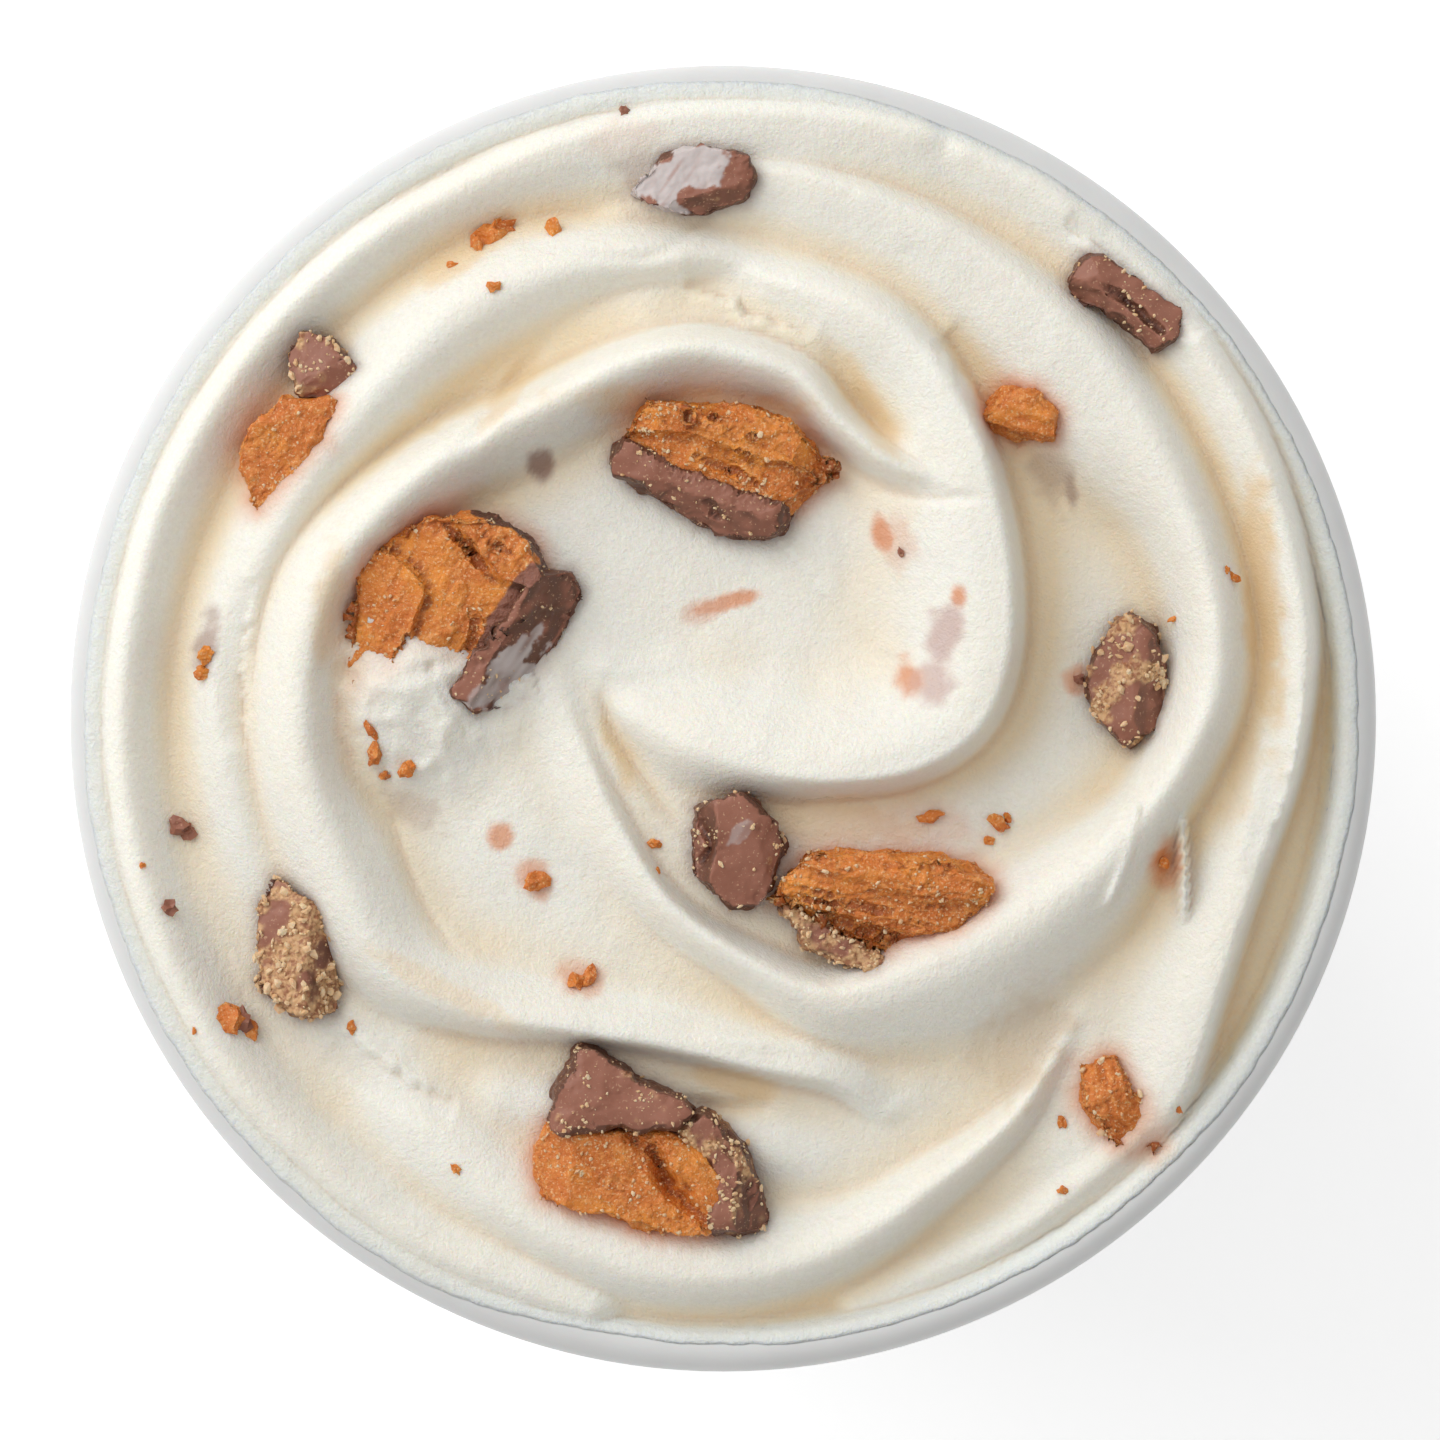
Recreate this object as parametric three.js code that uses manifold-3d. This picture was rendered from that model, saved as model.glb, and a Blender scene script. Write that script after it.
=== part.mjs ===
// A white paper cup filled to the rim with swirled soft ice cream, which holds broken pieces of a crisp
// candy bar with a milk chocolate coat. Millimetres, +Z up, the middle of the foot at the origin.
import * as THREE from "three";
import Module from "manifold-3d";

const wasm = await Module();
wasm.setup();

// Sizes of the cup
const RIM_RADIUS = 47.5;
const CUP_HEIGHT = 86;
const FOOT_RADIUS = 33;
const PAPER = 0.5;
const CURL_RADIUS = 1.6;
const CURL_END_RADIUS = 1.3;
const CURL_STEP = 30;
const CURL_STEPS = 10;
const CURL_ROUND_STEPS = 6;
const FOLD_HEIGHT = 6.5;
const BASE_UNDERSIDE = 7;
const GAP = 0.3;
const ROUND_STEPS = 60;

// Sizes of the ice cream
const ICE_RINGS = 26;
const RING_CENTRE = [6.5, 9.5];
const LAP_STEPS = 3;
const EDGE_THICKNESS = 0.6;
const SMOOTHING = 0.7;
const ICE_BOTTOM = BASE_UNDERSIDE + PAPER + GAP;
const FOLD_SOFTNESS = 0.3;
const SPLINE_STEPS = 8;

// How far out the ice cream laps over the rolled rim: angles in degrees and the edge's radius there
const EDGE_RADII = [
  [0, 45.3],
  [60, 45.5],
  [95, 46.3],
  [240, 46.4],
  [258, 45.2],
  [300, 45.3],
  [330, 45.6],
  [360, 45.3],
];

// Width of the layers that the crisp core breaks into
const PLANK_WIDTH = 2;

// Folds of the swirl. Each knot is x, y, crest height above the rim, width to the left of the way that
// the fold runs and width to its right. The feet are the heights it falls to on the left and the right.
const FOLDS = {
  centre_hook: {
    feet: [1.6, -1.6],
    knots: [
      [-8.8, 1.9, 1, 2, 1.4],
      [-6.2, 0.2, 2.6, 4, 4],
      [-2.5, -1.7, 3.9, 7, 6],
      [2, -3.3, 4.8, 9, 4.6],
      [7.5, -4.2, 5.6, 10, 3],
      [13.5, -3.5, 6.2, 11, 2.6],
      [18, -0.8, 6.6, 11, 2.4],
      [20.1, 3.6, 6.7, 11.5, 2.4],
      [20.5, 9, 6.6, 12, 2.4],
      [19.7, 15, 6.2, 12, 2.4],
      [18, 20.4, 5.6, 10, 2.6],
      [15, 25.4, 4.8, 7, 4],
      [11, 28.8, 4, 6, 5],
      [5.5, 31, 2.8, 5, 5],
      [-2, 32.5, 0.8, 5, 5],
    ],
  },
  centre_collar: {
    feet: [0, -3.4],
    knots: [
      [18.6, 16.2, 3.4, 1.8, 2.4],
      [16, 17, 4.6, 2.2, 3],
      [12.2, 18.4, 5.2, 2.6, 3.4],
      [8.6, 21.2, 5.4, 2.8, 3.6],
      [5, 24.8, 5.4, 3.4, 4],
      [-1.5, 26.6, 5.3, 4.2, 4.4],
      [-7, 25.4, 5.2, 4.6, 4.6],
      [-13, 22.4, 5, 5, 4.8],
      [-19.6, 19, 5, 5, 5.4],
      [-25.8, 15.2, 5, 4.8, 7],
      [-30, 9.6, 4.9, 4.6, 8.5],
      [-31.8, 3, 4.7, 4.8, 8.5],
      [-31.4, -4, 4.4, 5.2, 8.5],
      [-28.6, -11, 4, 6, 8.5],
      [-24, -17.4, 3.6, 6.4, 7],
      [-18, -21.2, 3.4, 6, 3.6],
      [-11, -22.4, 3.3, 5, 2.4],
      [-4, -23.6, 3, 5, 2.2],
      [3, -25.2, 2.8, 5, 2.2],
      [8, -26.2, 2.2, 4.5, 2.6],
      [11.5, -28.5, 0.4, 3, 3],
    ],
  },
  left_band: {
    feet: [-0.8, -2.2],
    knots: [
      [4, 33, 0.4, 3, 4],
      [-3, 33.2, 2.4, 3.4, 5],
      [-9, 32.9, 2.9, 4.4, 6],
      [-15, 31.2, 3.1, 5.6, 7],
      [-20.4, 27.8, 3.2, 6, 7.6],
      [-25.6, 22.6, 3.1, 5, 7.6],
      [-30.6, 16.4, 2.8, 4, 7],
      [-34.4, 9, 2.2, 4, 6.4],
      [-36, 1, 1.6, 4.5, 5.6],
      [-34.6, -8, 0.8, 5, 5.6],
      [-30, -17, -1, 6, 6],
    ],
  },
  left_rim_band: {
    feet: [-1.2, -3],
    knots: [
      [14, 42.4, 0.9, 9, 4],
      [6, 43.4, 1.1, 10, 4],
      [-3, 43.4, 1.4, 10, 4],
      [-11, 41.6, 1.6, 7, 4],
      [-18, 38.8, 1.7, 4.6, 4],
      [-26.5, 33.8, 1.7, 4, 4],
      [-34.6, 25.8, 1.7, 4, 4],
      [-40.6, 15.2, 1.6, 4, 4],
      [-43.2, 4, 1.5, 3.6, 4],
      [-43.2, -5, 1.4, 3.6, 4],
      [-41.2, -14, 1.3, 3.6, 4],
      [-36.8, -23.6, 1.1, 4, 4],
      [-30.4, -31.2, 0.9, 4, 4],
      [-22, -37.8, 0.7, 4, 4],
      [-10, -43, 0.2, 4, 3],
    ],
  },
  right_spiral: {
    feet: [-1.8, 0.2],
    knots: [
      [-8, 36.4, -0.2, 3.2, 4],
      [1.5, 39.4, 1.3, 2.6, 6],
      [9, 38.2, 2, 2.8, 9],
      [17.2, 34.4, 2.5, 3.4, 13],
      [24.2, 29, 3, 4.4, 14],
      [29.2, 23, 3.6, 5, 12],
      [33, 16, 4.3, 5, 7],
      [35.2, 9, 4.8, 5, 5.4],
      [35.4, 2.6, 4.9, 5, 5.4],
      [33.4, -2.6, 4.9, 5, 5],
      [30.4, -7, 4.9, 5.6, 4.6],
      [26.4, -11.2, 4.9, 8, 5],
      [21, -15, 4.8, 9.5, 4.4],
      [14.5, -18.2, 4.6, 10, 4],
      [8, -19.9, 4.3, 7.5, 3.6],
      [2, -17.6, 4, 4.2, 2.8],
      [-3.6, -13.6, 3.6, 4.6, 2],
      [-7.4, -8, 3, 7, 1.8],
      [-10.2, -2, 2, 8, 2],
      [-13, 4, 1.2, 9, 5],
    ],
  },
  right_rim_band: {
    feet: [-3.4, -1],
    knots: [
      [18, 41.2, 0.8, 6, 4],
      [25, 37, 1.3, 5, 4],
      [31.4, 31.2, 1.8, 3.6, 4],
      [36.6, 23.8, 2.4, 3.2, 4.2],
      [39.6, 16.6, 2.9, 3.2, 4],
      [41, 8.6, 3.1, 3, 4],
      [40.7, 2.6, 3.2, 2.4, 4.4],
      [39.4, -2.6, 3.2, 2.4, 4.6],
      [37.6, -8.6, 3.1, 2.2, 5],
      [35.8, -14.4, 2.8, 2.2, 5],
      [34.2, -20.6, 2.2, 2.4, 4.6],
      [32.9, -26.5, 1.2, 2.6, 4],
      [31.6, -30.5, -0.6, 2.6, 4],
    ],
  },
  right_edge_band: {
    feet: [-2, -1],
    knots: [
      [43, 13, 0.4, 2, 2],
      [44, 6, 1.1, 2, 2.4],
      [43.9, -2, 1.3, 2, 2.6],
      [42.4, -9.4, 1.2, 2, 2.6],
      [40.2, -16, 1, 2.4, 2.6],
      [37.6, -22, 0.7, 2.6, 2.6],
      [34.6, -27.6, 0.4, 2.6, 2.6],
      [30, -33.4, -0.6, 2.6, 2.6],
    ],
  },
  front_band: {
    feet: [-2.6, -3.4],
    knots: [
      [26.2, -20.6, -0.6, 2.6, 2],
      [23.4, -25.4, 0.9, 2.8, 2],
      [21, -28.8, 1.7, 3, 2.6],
      [18, -31.6, 2.1, 3.2, 3.6],
      [15, -33.9, 2.3, 3.6, 4.6],
      [11, -36.8, 2.3, 4, 6],
      [6.4, -39, 2.2, 4.4, 8],
      [0.6, -40.2, 2.1, 4.6, 10],
      [-6, -39.8, 1.9, 4.6, 10],
      [-13, -36.8, 1.5, 5, 10],
      [-21, -30, 0.6, 8, 9],
      [-29, -18, -1.6, 9, 9],
    ],
  },
  front_rim_band: {
    feet: [-2.8, -3.6],
    knots: [
      [33.4, -26.5, 0.8, 2.4, 5],
      [29.6, -30.8, 0.5, 2.6, 5],
      [24.6, -34.9, 0.3, 3, 4.6],
      [19, -38.6, -0.1, 3.2, 4.4],
      [10, -42.6, -1.2, 3.4, 4],
    ],
  },
  front_shelf: {
    feet: [-0.6, -1.2],
    knots: [
      [-16, -27.5, 0.2, 4, 4],
      [-8, -29, 0.9, 4, 4],
      [2, -31, 0.8, 4, 4],
      [9, -32.4, -0.4, 4, 4],
    ],
  },
};

// Large chunks of the bar. Corners run anticlockwise in plan round the crisp core and round each coat of
// chocolate beside it. Stands and sunk are measured from the ice cream at the core's middle.
const CHUNKS = {
  chunk_left: {
    corners: [
      [-26.6, -3], [-22.8, -4.8], [-19.9, 1.2], [-12.9, 10.6], [-13.9, 12.8], [-16.2, 14.4], [-21.3, 14.1],
      [-25.4, 12.4], [-26.8, 9],
    ],
    stands: 4.6,
    sunk: 3.2,
    slope: [0.05, 0.14],
    grain: 62,
    coats: {
      coat: {
        corners: [
          [-19.2, 1.6], [-17.3, 0.5], [-13.8, 1.4], [-9.9, 8.9], [-10.3, 10.4], [-12.5, 10.4],
        ],
        stands: 4,
      },
    },
  },
  chunk_top: {
    corners: [[-7.2, 19.9], [-3, 17.8], [4.6, 15.2], [7.9, 17.4], [5.2, 21.2], [0.9, 22.6], [-5.6, 22.6]],
    stands: 4,
    sunk: 3,
    slope: [0.04, 0.12],
    grain: -14,
    coats: {
      coat: {
        corners: [
          [-7.7, 18.3], [-5, 16.4], [-2, 14.3], [0, 13.5], [3.8, 13.5], [4.4, 14.6], [-3.1, 17.3],
          [-7.4, 19.4],
        ],
        stands: 2.8,
      },
    },
  },
  chunk_middle: {
    corners: [[3.7, -12.8], [13.4, -18], [17.8, -15.8], [19.7, -12], [16, -10.1], [11.4, -9.5], [6, -10]],
    stands: 4.2,
    sunk: 3,
    slope: [0, 0.12],
    grain: -8,
    coats: {
      coat: {
        corners: [
          [4.2, -13.6], [6, -15.8], [9.6, -18], [12.8, -18.9], [12.9, -18.2],
        ],
        stands: 2.4,
      },
    },
  },
  chunk_front: {
    corners: [
      [-12.7, -34.5], [-6.5, -36.5], [0.1, -37], [0, -33.2], [-2.1, -30.4], [-4, -29.5], [-12.6, -29.5],
      [-13.4, -31.4],
    ],
    stands: 4.4,
    sunk: 3.2,
    slope: [0.05, 0.04],
    grain: -8,
    coats: {
      coat_back: {
        corners: [[-3.8, -29.1], [-2.7, -28.2], [-10.4, -23.9], [-11.9, -26.6], [-12.4, -29.1]],
        stands: 4.8,
      },
      coat_side: {
        corners: [
          [0.5, -37.5], [3.4, -36.8], [3.1, -34.4], [1.8, -31.1], [-0.6, -29.1], [-2, -29.7],
          [0.4, -33],
        ],
        stands: 4,
      },
    },
  },
};

// Smaller pieces: corners in plan and how far each stands above the ice cream
const CRISP_FLAKES = {
  flake_left: {
    corners: [
      [-34.6, 19.8], [-33.6, 15.4], [-30.8, 18.6], [-28.7, 20.4], [-28.2, 22.7], [-31.5, 22.9],
      [-33.2, 21.8],
    ],
    stands: 1.6,
  },
  flake_right: {
    corners: [
      [19.2, 21.8], [21.2, 20.8], [23.8, 20.7], [23.9, 21.8], [22.3, 23.5], [20.4, 23.5],
    ],
    stands: 1.2,
  },
  flake_front: {
    corners: [
      [28.2, -24.4], [26.5, -25.6], [26.4, -28], [29.4, -31.1], [31, -30.8], [31, -28.8], [29.4, -27],
    ],
    stands: 2,
  },
};
const COATED_SHARDS = {
  shard_centre: {
    corners: [
      [-1.7, -6.6], [-2, -8.7], [-1.7, -11.3], [1, -13.3], [2.2, -13.3], [3.2, -12], [4.4, -9],
      [2.6, -6.2], [1.2, -5.5],
    ],
    stands: 3.4,
  },
  shard_upper_left: {
    corners: [[-31.5, 26.6], [-30.6, 23.5], [-26.6, 23.2], [-25.9, 24.2], [-28.5, 27.3], [-30.4, 27.9]],
    stands: 2.4,
  },
  shard_lower_left: {
    corners: [
      [-32.3, -11.5], [-33.4, -13.8], [-33.3, -19.5], [-30.6, -21.5], [-28.5, -21.2], [-28.1, -15],
      [-31, -12.6],
    ],
    stands: 2.8,
  },
  shard_right: {
    corners: [
      [28.2, 6.4], [26.6, 2.4], [27.4, 0.2], [29.5, -2], [31.4, -0.4], [32, 2.6], [31, 6.4], [29.5, 7.3],
    ],
    stands: 2.8,
  },
  shard_upper_right: {
    corners: [
      [25.2, 31.8], [25.4, 30.4], [27.4, 30], [31.6, 26.6], [32.8, 27.8], [32.8, 29.2], [28.6, 32.4],
      [26.8, 33.6],
    ],
    stands: 2.6,
  },
  shard_back: {
    corners: [
      [-6.4, 38.2], [-4.1, 37.1], [-1.3, 36.7], [1.5, 37.8], [2.4, 39.1], [1.5, 40.3], [-1.6, 41.3],
      [-3.8, 40.6],
    ],
    stands: 1.8,
  },
};

// Crumbs joined to the ice cream: x, y and size across.
const CRUMBS = [
  [-35.2, -22.2, 4.2],
  [-16.9, 35, 3.4],
  [-13.6, -11.7, 2.6],
  [-10.4, -18.9, 3],
  [-37.3, 5.3, 3.2],
  [-39.5, -7.9, 2.7],
  [19.9, -8, 2.6],
  [-12.2, 35.4, 2],
  [31.8, -10.4, 2.4],
  [11.5, 12.4, 2.4],
  [36.8, 10, 1.6],
  [-40.1, -13.7, 1.6],
  [15, -7, 1.6],
  [-16.5, 31.2, 1.5],
];

const CREAM = { color: 0xf3efe2, roughness: 0.5, metalness: 0 };
const PAPER_WHITE = { color: 0xf4f3f0, roughness: 0.6, metalness: 0 };
const CRISP_ORANGE = { color: 0xcd7728, roughness: 0.75, metalness: 0 };
const MILK_CHOCOLATE = { color: 0x6e4132, roughness: 0.55, metalness: 0 };

// Seeded random numbers between 0 and 1
function randomFrom(seed) {
  let state = seed;
  return () => {
    state = (state + 0x6d2b79f5) | 0;
    let mixed = Math.imul(state ^ (state >>> 15), 1 | state);
    mixed = (mixed + Math.imul(mixed ^ (mixed >>> 7), 61 | mixed)) ^ mixed;
    return ((mixed ^ (mixed >>> 14)) >>> 0) / 4294967296;
  };
}

// Meshes and solids
function geometryFrom(points, triangles) {
  const geometry = new THREE.BufferGeometry();
  geometry.setAttribute("position", new THREE.Float32BufferAttribute(points.flat(), 3));
  geometry.setIndex(triangles.flat());
  return geometry;
}

function toSolid(geometry) {
  const mesh = new wasm.Mesh({
    numProp: 3,
    vertProperties: new Float32Array(geometry.attributes.position.array),
    triVerts: new Uint32Array(geometry.index.array),
  });
  return new wasm.Manifold(mesh);
}

function fromSolid(solid) {
  const mesh = solid.getMesh();
  const geometry = new THREE.BufferGeometry();
  geometry.setAttribute("position", new THREE.BufferAttribute(mesh.vertProperties, 3));
  geometry.setIndex(new THREE.BufferAttribute(mesh.triVerts, 1));
  return geometry;
}

function turned(profile) {
  const points = profile.map(([radius, z]) => new THREE.Vector2(radius, z));
  return new THREE.LatheGeometry(points, ROUND_STEPS).rotateX(Math.PI / 2);
}

// The cup: the sleeve's wall is a straight cone from the foot to the middle of the rolled rim.
const CURL_CENTRE = RIM_RADIUS - CURL_RADIUS;
const CURL_HEIGHT = CUP_HEIGHT - CURL_RADIUS;

function wallInside(z) {
  const foot = FOOT_RADIUS - PAPER;
  const top = CURL_CENTRE - CURL_RADIUS;
  return foot + ((top - foot) * z) / CURL_HEIGHT;
}

function curlPoint(step, inset) {
  const angle = Math.PI - THREE.MathUtils.degToRad(CURL_STEP) * step;
  const share = Math.max(0, step - CURL_ROUND_STEPS) / (CURL_STEPS - CURL_ROUND_STEPS);
  const radius = THREE.MathUtils.lerp(CURL_RADIUS, CURL_END_RADIUS, share) - inset;
  return [CURL_CENTRE + radius * Math.cos(angle), CURL_HEIGHT + radius * Math.sin(angle)];
}

function sleeveProfile() {
  const channel = 2 * GAP + PAPER;
  const profile = [[FOOT_RADIUS, 0]];
  for (let step = 0; step <= CURL_STEPS; step++) profile.push(curlPoint(step, PAPER));
  for (let step = CURL_STEPS; step >= 0; step--) profile.push(curlPoint(step, 0));
  profile.push([wallInside(PAPER), PAPER]);
  profile.push([wallInside(PAPER) - channel, PAPER]);
  profile.push([wallInside(FOLD_HEIGHT) - channel, FOLD_HEIGHT]);
  profile.push([wallInside(FOLD_HEIGHT) - channel - PAPER, FOLD_HEIGHT]);
  profile.push([wallInside(0) - channel - PAPER, 0]);
  profile.push([FOOT_RADIUS, 0]);
  return profile;
}

function baseProfile() {
  const skirtEnd = PAPER + GAP;
  const top = BASE_UNDERSIDE + PAPER;
  return [
    [0, BASE_UNDERSIDE],
    [wallInside(BASE_UNDERSIDE) - GAP - PAPER, BASE_UNDERSIDE],
    [wallInside(skirtEnd) - GAP - PAPER, skirtEnd],
    [wallInside(skirtEnd) - GAP, skirtEnd],
    [wallInside(top) - GAP, top],
    [0, top],
  ];
}

// The swirl: a height above the rim for every place, the highest of the floor and all folds, blended.
function curveThrough(knots) {
  const last = knots.length - 1;
  const before = knots[0].map((value, i) => 2 * value - knots[1][i]);
  const after = knots[last].map((value, i) => 2 * value - knots[last - 1][i]);
  const all = [before, ...knots, after];
  const curve = [];
  for (let k = 1; k <= last; k++) {
    for (let step = 0; step < SPLINE_STEPS; step++) {
      const t = step / SPLINE_STEPS;
      curve.push(
        knots[0].map((_, i) => {
          const [a, b, c, d] = [all[k - 1][i], all[k][i], all[k + 1][i], all[k + 2][i]];
          const square = 2 * a - 5 * b + 4 * c - d;
          const cube = 3 * b - a - 3 * c + d;
          return 0.5 * (2 * b + (c - a) * t + square * t ** 2 + cube * t ** 3);
        }),
      );
    }
  }
  curve.push(knots[last]);
  return curve;
}

const CURVES = Object.values(FOLDS).map(({ feet, knots }) => ({ feet, curve: curveThrough(knots) }));

function nearestOn(curve, x, y) {
  let best = null;
  for (let i = 0; i + 1 < curve.length; i++) {
    const [from, to] = [curve[i], curve[i + 1]];
    const [alongX, alongY] = [to[0] - from[0], to[1] - from[1]];
    const length = Math.hypot(alongX, alongY);
    const share = ((x - from[0]) * alongX + (y - from[1]) * alongY) / length ** 2;
    const t = THREE.MathUtils.clamp(share, 0, 1);
    const [offX, offY] = [x - from[0] - t * alongX, y - from[1] - t * alongY];
    const distance = Math.hypot(offX, offY);
    if (best && distance >= best.distance) continue;
    const side = (alongX * offY - alongY * offX) / length;
    best = { distance, side, values: from.map((value, k) => value + t * (to[k] - value)) };
  }
  return best;
}

function foldHeight({ feet, curve }, x, y) {
  const { distance, side, values } = nearestOn(curve, x, y);
  const [, , crest, leftWidth, rightWidth] = values;
  const left = THREE.MathUtils.smoothstep(side / Math.max(distance, 0.4), -1, 1);
  const width = THREE.MathUtils.lerp(rightWidth, leftWidth, left);
  const foot = THREE.MathUtils.lerp(feet[1], feet[0], left);
  const away = distance / width;
  const share = 0.5 + 0.5 * Math.cos(Math.PI * Math.min(away, 1));
  return foot + (crest - foot) * share - 0.9 * Math.max(away - 1, 0);
}

function floorHeight(x, y) {
  const share = Math.min(Math.hypot(x, y) / 44, 1.06);
  return 1.2 - 3.6 * share ** 2.4;
}

function iceHeight(x, y) {
  const heights = CURVES.map((fold) => foldHeight(fold, x, y));
  heights.push(floorHeight(x, y));
  const top = Math.max(...heights);
  const sum = heights.reduce((total, z) => total + Math.exp((z - top) / FOLD_SOFTNESS), 0);
  return CUP_HEIGHT + top + FOLD_SOFTNESS * Math.log(sum);
}

// The ice cream: rings of points, six more in each ring than in the one inside it, over a plain cone.
function ringStart(ring) {
  return ring === 0 ? 0 : 1 + 3 * ring * (ring - 1);
}

function discTriangles() {
  const triangles = [];
  for (let ring = 1; ring <= ICE_RINGS; ring++) {
    const outer = (i) => ringStart(ring) + (i % (6 * ring));
    const inner = (i) => ringStart(ring - 1) + (ring === 1 ? 0 : i % (6 * (ring - 1)));
    for (let sector = 0; sector < 6; sector++) {
      for (let i = 0; i < ring; i++) {
        const out = sector * ring + i;
        const ins = sector * (ring - 1) + i;
        triangles.push([inner(ins), outer(out), outer(out + 1)]);
        if (i < ring - 1) triangles.push([inner(ins), outer(out + 1), inner(ins + 1)]);
      }
    }
  }
  return triangles;
}

function smoothHeight(x, y) {
  let sum = iceHeight(x, y);
  for (let i = 0; i < 6; i++) {
    const angle = (Math.PI * i) / 3;
    sum += iceHeight(x + SMOOTHING * Math.cos(angle), y + SMOOTHING * Math.sin(angle));
  }
  return sum / 7;
}

function edgeRadius(angle) {
  const degrees = THREE.MathUtils.euclideanModulo(THREE.MathUtils.radToDeg(angle), 360);
  const after = EDGE_RADII.findIndex(([end]) => end > degrees);
  const [[start, startRadius], [end, endRadius]] = [EDGE_RADII[after - 1], EDGE_RADII[after]];
  return THREE.MathUtils.lerp(startRadius, endRadius, THREE.MathUtils.smoothstep(degrees, start, end));
}

// Points down the outside of the ice cream, a gap clear of the rolled rim and the wall.
function undersideOf(radius) {
  const clearance = CURL_RADIUS + GAP;
  const start = Math.acos((radius - 0.35 - CURL_CENTRE) / clearance);
  const points = [];
  for (let step = 0; step < LAP_STEPS; step++) {
    const angle = THREE.MathUtils.lerp(start, Math.PI, step / (LAP_STEPS - 1));
    points.push([CURL_CENTRE + clearance * Math.cos(angle), CURL_HEIGHT + clearance * Math.sin(angle)]);
  }
  points.push([wallInside(ICE_BOTTOM) - GAP, ICE_BOTTOM]);
  return points;
}

function iceGeometry() {
  const points = [[...RING_CENTRE, smoothHeight(...RING_CENTRE)]];
  const columns = [];
  for (let ring = 1; ring <= ICE_RINGS; ring++) {
    const share = ring / ICE_RINGS;
    const shift = RING_CENTRE.map((value) => value * (1 - share ** 2));
    for (let i = 0; i < 6 * ring; i++) {
      const angle = (Math.PI * i) / (3 * ring);
      const radius = share * edgeRadius(angle);
      const x = shift[0] + radius * Math.cos(angle);
      const y = shift[1] + radius * Math.sin(angle);
      let z = smoothHeight(x, y);
      if (ring === ICE_RINGS) {
        const column = undersideOf(radius);
        z = Math.max(z, column[0][1] + EDGE_THICKNESS);
        columns.push(column.map(([r, height]) => [r * Math.cos(angle), r * Math.sin(angle), height]));
      }
      points.push([x, y, z]);
    }
  }
  const triangles = discTriangles();
  const count = columns.length;
  const edgeStart = ringStart(ICE_RINGS);
  for (let level = 0; level <= LAP_STEPS; level++) {
    const above = edgeStart + level * count;
    const below = above + count;
    columns.forEach((column, i) => {
      const next = (i + 1) % count;
      points.push(column[level]);
      triangles.push([below + i, below + next, above + i], [above + i, below + next, above + next]);
    });
  }
  const bottomStart = points.length - count;
  const bottomCentre = points.push([0, 0, ICE_BOTTOM]) - 1;
  for (let i = 0; i < count; i++) {
    triangles.push([bottomCentre, bottomStart + ((i + 1) % count), bottomStart + i]);
  }
  return geometryFrom(points, triangles);
}

// Broken pieces: an outline in plan, stacked in layers whose edges are broken back by seeded amounts
function middleOf(corners) {
  const sum = corners.reduce(([x, y], corner) => [x + corner[0], y + corner[1]], [0, 0]);
  return [sum[0] / corners.length, sum[1] / corners.length];
}

function outwardNormal(from, to) {
  const length = Math.hypot(to[0] - from[0], to[1] - from[1]);
  return [(to[1] - from[1]) / length, (from[0] - to[0]) / length];
}

function grown(corners, margin) {
  const count = corners.length;
  return corners.map((corner, i) => {
    const before = outwardNormal(corners[(i + count - 1) % count], corner);
    const after = outwardNormal(corner, corners[(i + 1) % count]);
    const scale = margin / (1 + before[0] * after[0] + before[1] * after[1]);
    return [corner[0] + scale * (before[0] + after[0]), corner[1] + scale * (before[1] + after[1])];
  });
}

function outlineSteps(corners, spacing) {
  const outline = [];
  corners.forEach((corner, i) => {
    const next = corners[(i + 1) % corners.length];
    const steps = Math.max(1, Math.round(Math.hypot(next[0] - corner[0], next[1] - corner[1]) / spacing));
    for (let step = 0; step < steps; step++) {
      const share = step / steps;
      outline.push([corner[0] + share * (next[0] - corner[0]), corner[1] + share * (next[1] - corner[1])]);
    }
  });
  return outline;
}

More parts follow.
